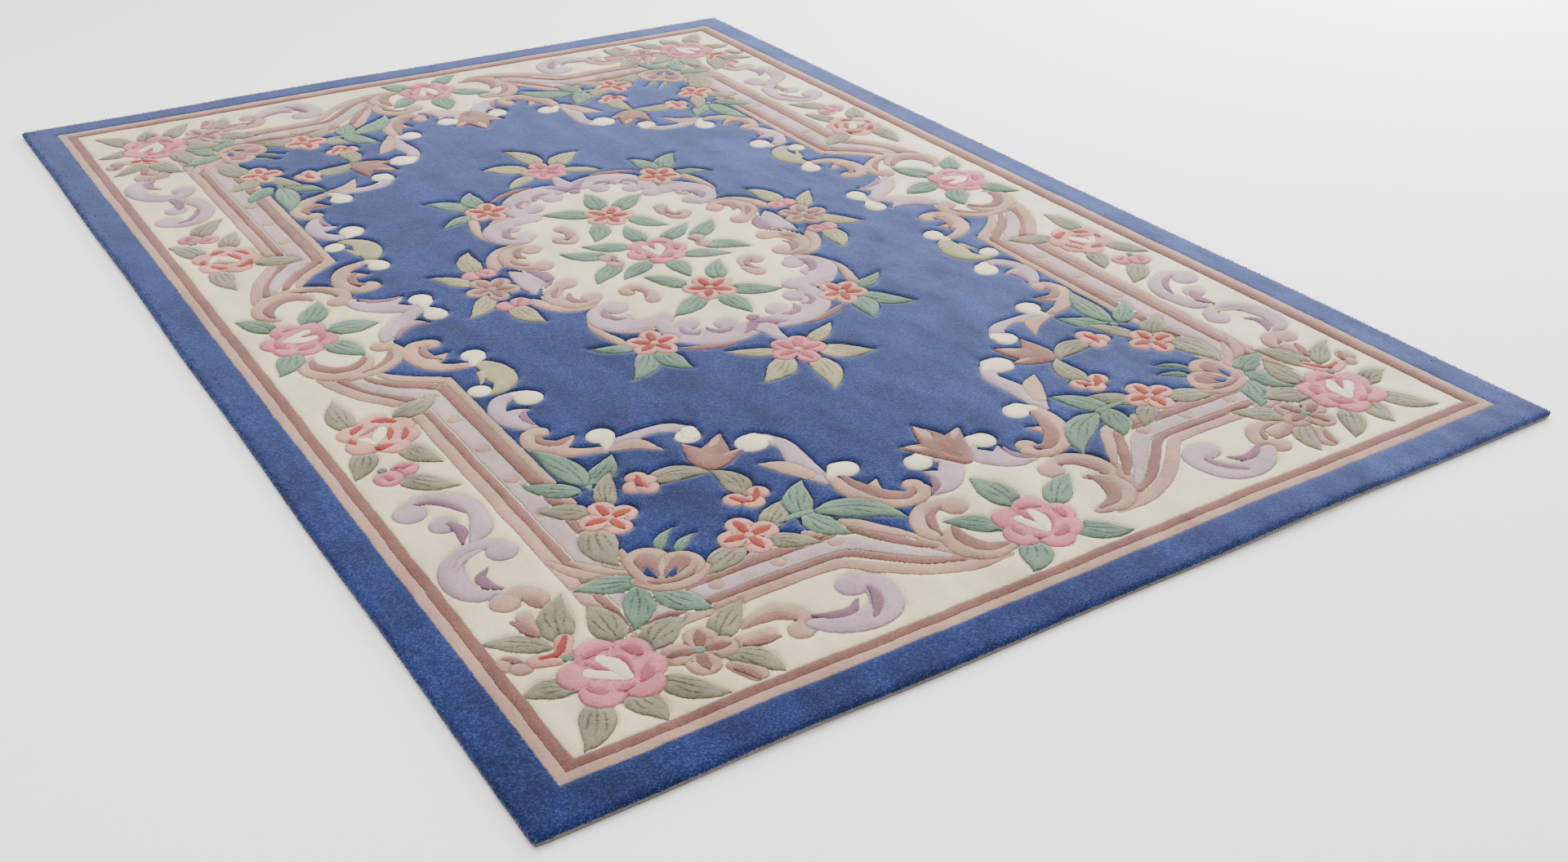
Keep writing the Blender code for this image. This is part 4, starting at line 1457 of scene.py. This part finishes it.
def frame_stations(step):
    """Places round a unit square, anticlockwise, about step apart on the rug."""
    up = np.linspace(-1, 1, int(2 * HALF_LENGTH / step) + 1)[:-1]
    across = np.linspace(-1, 1, int(2 * HALF_WIDTH / step) + 1)[:-1]
    sides = (
        (np.ones_like(up), up), (-across, np.ones_like(across)),
        (-np.ones_like(up), -up), (across, -np.ones_like(across)),
    )
    return np.hstack([np.vstack(side) for side in sides])


def outline_points(p, q, inset):
    """Points of the rug's outline, inset from its edge, with rounded corners."""
    inset = inset + edge_stray(p, q)
    x, y = (HALF_WIDTH - inset) * p, (HALF_LENGTH - inset) * q
    over_x = np.abs(x) - (HALF_WIDTH - inset - CORNER_RADIUS)
    over_y = np.abs(y) - (HALF_LENGTH - inset - CORNER_RADIUS)
    corner = (over_x > 0) & (over_y > 0)
    shrink = np.where(corner, 1 - CORNER_RADIUS / np.maximum(np.hypot(over_x, over_y), 1e-9), 0.0)
    x = x - np.sign(x) * over_x * shrink
    y = y - np.sign(y) * over_y * shrink
    return x, y


def frame_points(p, q, inset):
    """Points of a sharp-cornered rectangle, inset from the rug's edge."""
    return (HALF_WIDTH - inset) * p, (HALF_LENGTH - inset) * q


# The border's rings, from the foot of its rim up over the roll and in to the first guard stripe: each
# one's inset in millimetres, and its height as a share of the pile's
RimRow = namedtuple("RimRow", "inset rise")
RIM_ROWS = (
    RimRow(4.2, 0.28), RimRow(2.2, 0.31), RimRow(0.8, 0.37), RimRow(0.0, 0.45), RimRow(0.1, 0.53),
    RimRow(0.6, 0.62), RimRow(1.3, 0.71), RimRow(2.4, 0.80), RimRow(4.2, 0.89), RimRow(7.0, 0.95),
    RimRow(11.0, 0.99), RimRow(16.0, 1.0), RimRow(24.0, 1.0), RimRow(34.0, 1.0), RimRow(46.0, 1.0),
    RimRow(57.0, 1.0), RimRow(63.0, 1.0), RimRow(67.0, 1.0), RimRow(69.0, 1.0), RimRow(70.0, 1.0),
)


BORDER_STEP = 7 * MM
# Rings less than this many millimetres in follow the cut edge, and ones less than the other are ruffled
ALONG_EDGE, RUFFLED = 30, 12
RUFFLE, RUFFLE_WAVE = 0.5 * MM, 6 * MM


class RUG_OT_border(bpy.types.Operator):
    """Builds the plain blue border with its rolled rim"""

    bl_idname = "rug.border"
    bl_label = "Border"

    def execute(self, context):
        sizes = context.scene.rug_sizes
        p, q = frame_stations(BORDER_STEP)
        count = p.shape[0]
        rings, carves = [], []
        for row in RIM_ROWS:
            inset = row.inset * MM
            x, y = outline_points(p, q, inset) if row.inset < ALONG_EDGE else frame_points(p, q, inset)
            ruffle = RUFFLE * lattice_noise(x, y, RUFFLE_WAVE, 11) * (1 if row.inset < RUFFLED else 0)
            out_x = np.where(np.abs(p) == 1.0, np.sign(p), 0.0)
            out_y = np.where(np.abs(p) == 1.0, 0.0, np.sign(q))
            gap = BORDER_WIDTH - inset
            foot = PILE_FOOT + lift_at(x, y)
            top = pile_top(x, y) - groove(np.full(count, gap), BORDER_CUT, sizes)
            z = foot + row.rise * (top - foot)
            rings.append(np.column_stack((x + out_x * ruffle, y + out_y * ruffle, z)))
            carves.append(carve_distance(np.full(count, gap), BORDER_CUT))
        rings.append(rings[-1] - np.array((0, 0, TUCK + WALL_DROP)))
        carves.append(np.zeros(count))
        points = np.vstack(rings)
        index = np.arange(points.shape[0]).reshape(len(rings), count)
        turn = np.roll(index, -1, axis=1)
        quads = np.stack((index[:-1], turn[:-1], turn[1:], index[1:]), -1).reshape(-1, 4)
        values = {"carve": np.concatenate(carves), "tint": np.zeros(len(points))}
        piece = mesh_object("border_pile", wobble(points), quads, values)
        piece.data.materials.append(yarn_material("blue"))
        settle(piece)
        return {"FINISHED"}


GUARD_STEP = 8 * MM
GUARD_COLUMNS = 7
# How high a guard stripe swells, as a share of a motif's swell
GUARD_SWELL = 0.3


def guard_stripe(name, yarn, outer, inner, cuts, sizes):
    """A stripe round the rug between two insets: a closed band with a rounded, carved top."""
    p, q = frame_stations(GUARD_STEP)
    middle, half = (outer + inner) / 2, (inner - outer) / 2
    across = np.sin(np.linspace(-math.pi / 2, math.pi / 2, GUARD_COLUMNS))
    rings, carves, places = [], [], []
    for s in across:
        x, y = frame_points(p, q, middle + s * half)
        inside = np.full(len(x), half * (1 - abs(s)))
        cut = cuts[0] if s < 0 else cuts[1]
        z = pile_top(x, y) + GUARD_SWELL * sizes.swell * (1 - s * s) - groove(inside, cut, sizes)
        rings.append(np.column_stack((x, y, z)))
        carves.append(carve_distance(inside, cut))
        places.append(np.full(len(x), s))
    for s, at in ((1, -1), (-1, 0)):
        under = rings[at].copy()
        under[:, 2] = under[:, 2] - WALL_DROP
        rings.append(under)
        carves.append(carves[at])
        places.append(np.full(len(under), s))
    points = np.stack(rings)
    index = np.arange(points.shape[0] * points.shape[1]).reshape(points.shape[:2])
    turn, next_ring = np.roll(index, -1, axis=1), np.roll(index, -1, axis=0)
    both = np.roll(turn, -1, axis=0)
    quads = np.stack((index, turn, both, next_ring), -1).reshape(-1, 4)
    values = {"carve": np.concatenate(carves), "tint": np.zeros(index.size)}
    piece = mesh_object(name, wobble(points.reshape(-1, 3)), quads, values)
    piece.data.materials.append(yarn_material(yarn))
    return settle(piece)


class RUG_OT_guards(bpy.types.Operator):
    """Builds the two narrow stripes inside the border"""

    bl_idname = "rug.guards"
    bl_label = "Guard stripes"

    def execute(self, context):
        sizes = context.scene.rug_sizes
        guard_stripe("peach_guard", "peach", BORDER_WIDTH, GUARD_INSET, (BORDER_CUT, GUARD_CUT), sizes)
        guard_stripe("dusty_guard", "dusty", GUARD_INSET, GROUND_INSET, (GUARD_CUT, GROUND_CUT), sizes)
        return {"FINISHED"}


# The rim's loose yarn ends: the share that stands low on it, the heights between which the low and
# the high ones stand, as shares of the pile, and how their direction strays
LOW_TUFTS = 0.55
LOW_RISE, HIGH_RISE = (0.29, 0.6), (0.6, 1.02)
TUFT_STRAY = 0.45
TUFT_LENGTH = (1.5 * MM, 4.5 * MM)
TUFT_RADIUS = (0.7 * MM, 1.5 * MM)
TUFT_ROOT = 1.2 * MM
# How far upwards an end points at four heights, against 1 outwards
UP_AT, UPWARD = (0.28, 0.45, 0.8, 1.0), (-0.5, 0.05, 0.8, 1.6)
# The painted shade of a root, and the painted highlight of a tip: the least, and how much more the palest
# has
ROOT_PAINTED_SHADE, TIP_PAINTED_HIGHLIGHT, TIP_HIGHLIGHT_EXTRA = -4.0, 2, 80
# The first rows of the border, from its foot to where its pile is at its full height
RIM_ROW_COUNT = 13


class RUG_OT_tufts(bpy.types.Operator):
    """Builds the loose yarn ends that stand out of the rolled rim"""

    bl_idname = "rug.tufts"
    bl_label = "Rim tufts"

    def execute(self, context):
        spacing = context.scene.rug_sizes.tuft_spacing
        perimeter = 4 * (HALF_WIDTH + HALF_LENGTH)
        count = int(perimeter / spacing)
        rng = np.random.default_rng(8)
        share = rng.uniform(0, 1, count) * perimeter
        sides = np.cumsum((2 * HALF_LENGTH, 2 * HALF_WIDTH, 2 * HALF_LENGTH, 2 * HALF_WIDTH))
        side = np.searchsorted(sides, share)
        into = share - np.concatenate(((0,), sides[:-1]))[side]
        along_y, along_x = into / HALF_LENGTH - 1, into / HALF_WIDTH - 1
        p = np.select((side == 0, side == 1, side == 2), (1.0, -along_x, -1.0), along_x)
        q = np.select((side == 0, side == 1, side == 2), (along_y, 1.0, -along_y), -1.0)
        low = rng.uniform(0, 1, count) < LOW_TUFTS
        row = np.where(low, rng.uniform(*LOW_RISE, count), rng.uniform(*HIGH_RISE, count))
        rise = np.array([r.rise for r in RIM_ROWS[:RIM_ROW_COUNT]])
        inset = np.array([r.inset for r in RIM_ROWS[:RIM_ROW_COUNT]]) * MM
        level = np.minimum(row, 1.0)
        at = np.interp(level, rise, inset)
        x, y = outline_points(p, q, at)
        foot = PILE_FOOT + lift_at(x, y)
        z = foot + level * (pile_top(x, y) - foot)
        upward = np.interp(level, UP_AT, UPWARD)
        normal = np.column_stack((
            np.where(side % 2 == 0, np.sign(p), 0.0), np.where(side % 2 == 1, np.sign(q), 0.0), upward))
        normal += rng.normal(0, TUFT_STRAY, (count, 3))
        normal /= np.linalg.norm(normal, axis=1, keepdims=True)
        length = rng.uniform(*TUFT_LENGTH, count)
        radius = rng.uniform(*TUFT_RADIUS, count)
        root = np.column_stack((x, y, z)) - normal * TUFT_ROOT
        level_side = np.cross(normal, (0.0, 0.0, 1.0))
        level_side /= np.maximum(np.linalg.norm(level_side, axis=1, keepdims=True), 1e-6)
        third = np.cross(normal, level_side)
        corners = []
        for angle in np.radians((0, 120, 240)):
            corners.append(root + radius[:, None] * (math.cos(angle) * level_side + math.sin(angle) * third))
        tip = root + normal * (length + TUFT_ROOT)[:, None]
        points = np.stack(corners + [tip], axis=1).reshape(-1, 3)
        base = np.arange(count)[:, None] * 4
        faces = np.concatenate([base + np.array(f) for f in ((0, 1, 3), (1, 2, 3), (2, 0, 3), (0, 2, 1))])
        # Painted highlights: a few tips are painted much paler, more of them among the low ends, and the
        # roots are painted darker as shade
        pale = rng.uniform(0, 1, count) ** 3 * (0.4 + 0.6 * low)
        shade_and_highlight_tints = [np.full(count, ROOT_PAINTED_SHADE)] * 3 + [TIP_PAINTED_HIGHLIGHT + TIP_HIGHLIGHT_EXTRA * pale]
        # The roots' short carve distance paints the grooves' shade on them as well
        values = {
            "carve": np.tile((2 * MM, 2 * MM, 2 * MM, 9 * MM), count),
            "tint": np.column_stack(shade_and_highlight_tints).reshape(-1),
        }
        piece = mesh_object("rim_tufts", points, np.empty((0, 4), int), values, list(faces))
        piece.data.materials.append(yarn_material("blue"))
        settle(piece)
        return {"FINISHED"}


CANVAS_STEP = 20 * MM
# The insets of the canvas's rings where it lies flat, and of its upper side's edge behind the hem
CANVAS_INSETS = (0.80, FLAT_INSET, 0.11, 0.05)
UPPER_INSET = 0.009
# How far the hem's foot is off the floor, and how far its middle bulges outwards
HEM_FOOT = 0.0006
HEM_BULGE = 0.0004


class RUG_OT_backing(bpy.types.Operator):
    """Builds the canvas under the pile, lifted where the rug's edge lifts off the floor"""

    bl_idname = "rug.backing"
    bl_label = "Canvas backing"

    def execute(self, context):
        p, q = frame_stations(CANVAS_STEP)
        under = [(0.0, inset) for inset in CANVAS_INSETS]
        hem = [(0.0, BACKING_INSET), (HEM_FOOT, HEM_INSET), (0.5 * HEM_HEIGHT, HEM_INSET - HEM_BULGE),
               (HEM_HEIGHT, HEM_INSET), (HEM_HEIGHT, BACKING_INSET)]
        over = [(BACKING_THICKNESS, inset) for inset in (UPPER_INSET, *reversed(CANVAS_INSETS))]
        rows = under + hem + over
        rings = []
        for z, inset in rows:
            x, y = outline_points(p, q, inset)
            rings.append(np.column_stack((x, y, z + lift_at(x, y))))
        count = p.shape[0]
        index = np.arange(len(rows) * count).reshape(len(rows), count)
        turn = np.roll(index, -1, axis=1)
        quads = np.stack((index[:-1], index[1:], turn[1:], turn[:-1]), -1).reshape(-1, 4)
        piece = mesh_object("canvas_back", np.vstack(rings), quads, None, [index[0], index[-1][::-1]])
        piece.data.materials.append(canvas_material())
        settle(piece, "backing_canvas")
        return {"FINISHED"}


def aim(thing, target):
    """Turns a light's -Z axis towards a place."""
    thing.rotation_euler = (Vector(target) - thing.location).to_track_quat("-Z", "Y").to_euler()


def soft_light(name, place, size, power, target=(0, 0, 0)):
    """A large square area light aimed at a place."""
    data = bpy.data.lights.new(name, "AREA")
    data.shape = "SQUARE"
    data.size = size
    data.energy = power
    light = bpy.data.objects.new(name, data)
    light.location = place
    bpy.context.scene.collection.objects.link(light)
    aim(light, target)
    return light


FLOOR_HALF = 9.0
FLOOR_CORNERS = ((-1, -1), (1, -1), (1, 1), (-1, 1))
# The floor lies this far under the canvas, so that the two don't share a plane
FLOOR_GAP = 0.0004
SKY_STRENGTH = 1.32

# The camera stands as the photograph's does, worked out from the rug's corners in it
CAMERA_PLACE = (-1.560, -2.823, 1.429)
CAMERA_TURN = (59.976, -0.751, -33.184)
CAMERA_LENS_MM = 37.62


class RUG_OT_stage(bpy.types.Operator):
    """Sets up the pale floor, the soft light and the camera"""

    bl_idname = "rug.stage"
    bl_label = "Stage"

    def execute(self, context):
        corners = np.array([(x * FLOOR_HALF, y * FLOOR_HALF, -FLOOR_GAP) for x, y in FLOOR_CORNERS])
        floor = mesh_object("pale_floor", corners, np.array(((0, 1, 2, 3),)))
        material = bpy.data.materials.new("matt_white_paper")
        material.use_nodes = True
        tree = material.node_tree
        place = add_node(tree, "TexCoord").outputs["Object"]
        noise = add_node(tree, "TexNoise", {"Scale": 2.0}, Vector=place)
        tone = add_node(
            tree, "Mix", {"data_type": "RGBA", 6: to_linear("#FAF9F8"), 7: to_linear("#FDFCFB")},
            i0=noise.outputs["Fac"])
        shader = tree.nodes["Principled BSDF"]
        tree.links.new(tone.outputs[2], shader.inputs["Base Color"])
        shader.inputs["Roughness"].default_value = 0.9
        floor.data.materials.append(material)
        world = bpy.data.worlds.new("studio")
        bpy.context.scene.world = world
        world.use_nodes = True
        sky = world.node_tree.nodes["Background"]
        sky.inputs["Color"].default_value = (1.0, 1.0, 1.0, 1.0)
        sky.inputs["Strength"].default_value = SKY_STRENGTH
        soft_light("softbox_right", (3.6, 0.9, 1.9), 2.4, 320)
        soft_light("softbox_top", (-0.6, 0.2, 4.5), 3.5, 220)
        data = bpy.data.cameras.new("camera")
        data.lens = CAMERA_LENS_MM
        data.sensor_width = 36.0
        camera = bpy.data.objects.new("camera", data)
        camera.location = CAMERA_PLACE
        camera.rotation_euler = [math.radians(a) for a in CAMERA_TURN]
        bpy.context.scene.collection.objects.link(camera)
        bpy.context.scene.camera = camera
        return {"FINISHED"}


class RUG_PT_panel(bpy.types.Panel):
    """Lists the rug's pieces, sizes and colours"""

    bl_idname = "RUG_PT_panel"
    bl_label = "Floral rug"
    bl_space_type = "VIEW_3D"
    bl_region_type = "UI"
    bl_category = "Rug"

    def draw(self, context):
        layout = self.layout
        for name in RugSizes.__annotations__:
            layout.prop(context.scene.rug_sizes, name)
        for name in RugColours.__annotations__:
            layout.prop(context.scene.rug_colours, name)
        for operator in OPERATORS:
            layout.operator(operator.bl_idname)


OPERATORS = (
    RUG_OT_border, RUG_OT_guards, RUG_OT_motifs, RUG_OT_ground, RUG_OT_tufts, RUG_OT_backing, RUG_OT_stage,
)
CLASSES = (RugSizes, RugColours) + OPERATORS + (RUG_PT_panel,)


def register():
    for cls in CLASSES:
        bpy.utils.register_class(cls)
    bpy.types.Scene.rug_sizes = bpy.props.PointerProperty(type=RugSizes)
    bpy.types.Scene.rug_colours = bpy.props.PointerProperty(type=RugColours)


def unregister():
    del bpy.types.Scene.rug_colours
    del bpy.types.Scene.rug_sizes
    for cls in reversed(CLASSES):
        bpy.utils.unregister_class(cls)


def main():
    register()
    bpy.ops.rug.border()
    bpy.ops.rug.guards()
    bpy.ops.rug.motifs()
    bpy.ops.rug.ground()
    bpy.ops.rug.tufts()
    bpy.ops.rug.backing()
    bpy.ops.rug.stage()


if __name__ == "__main__":
    main()
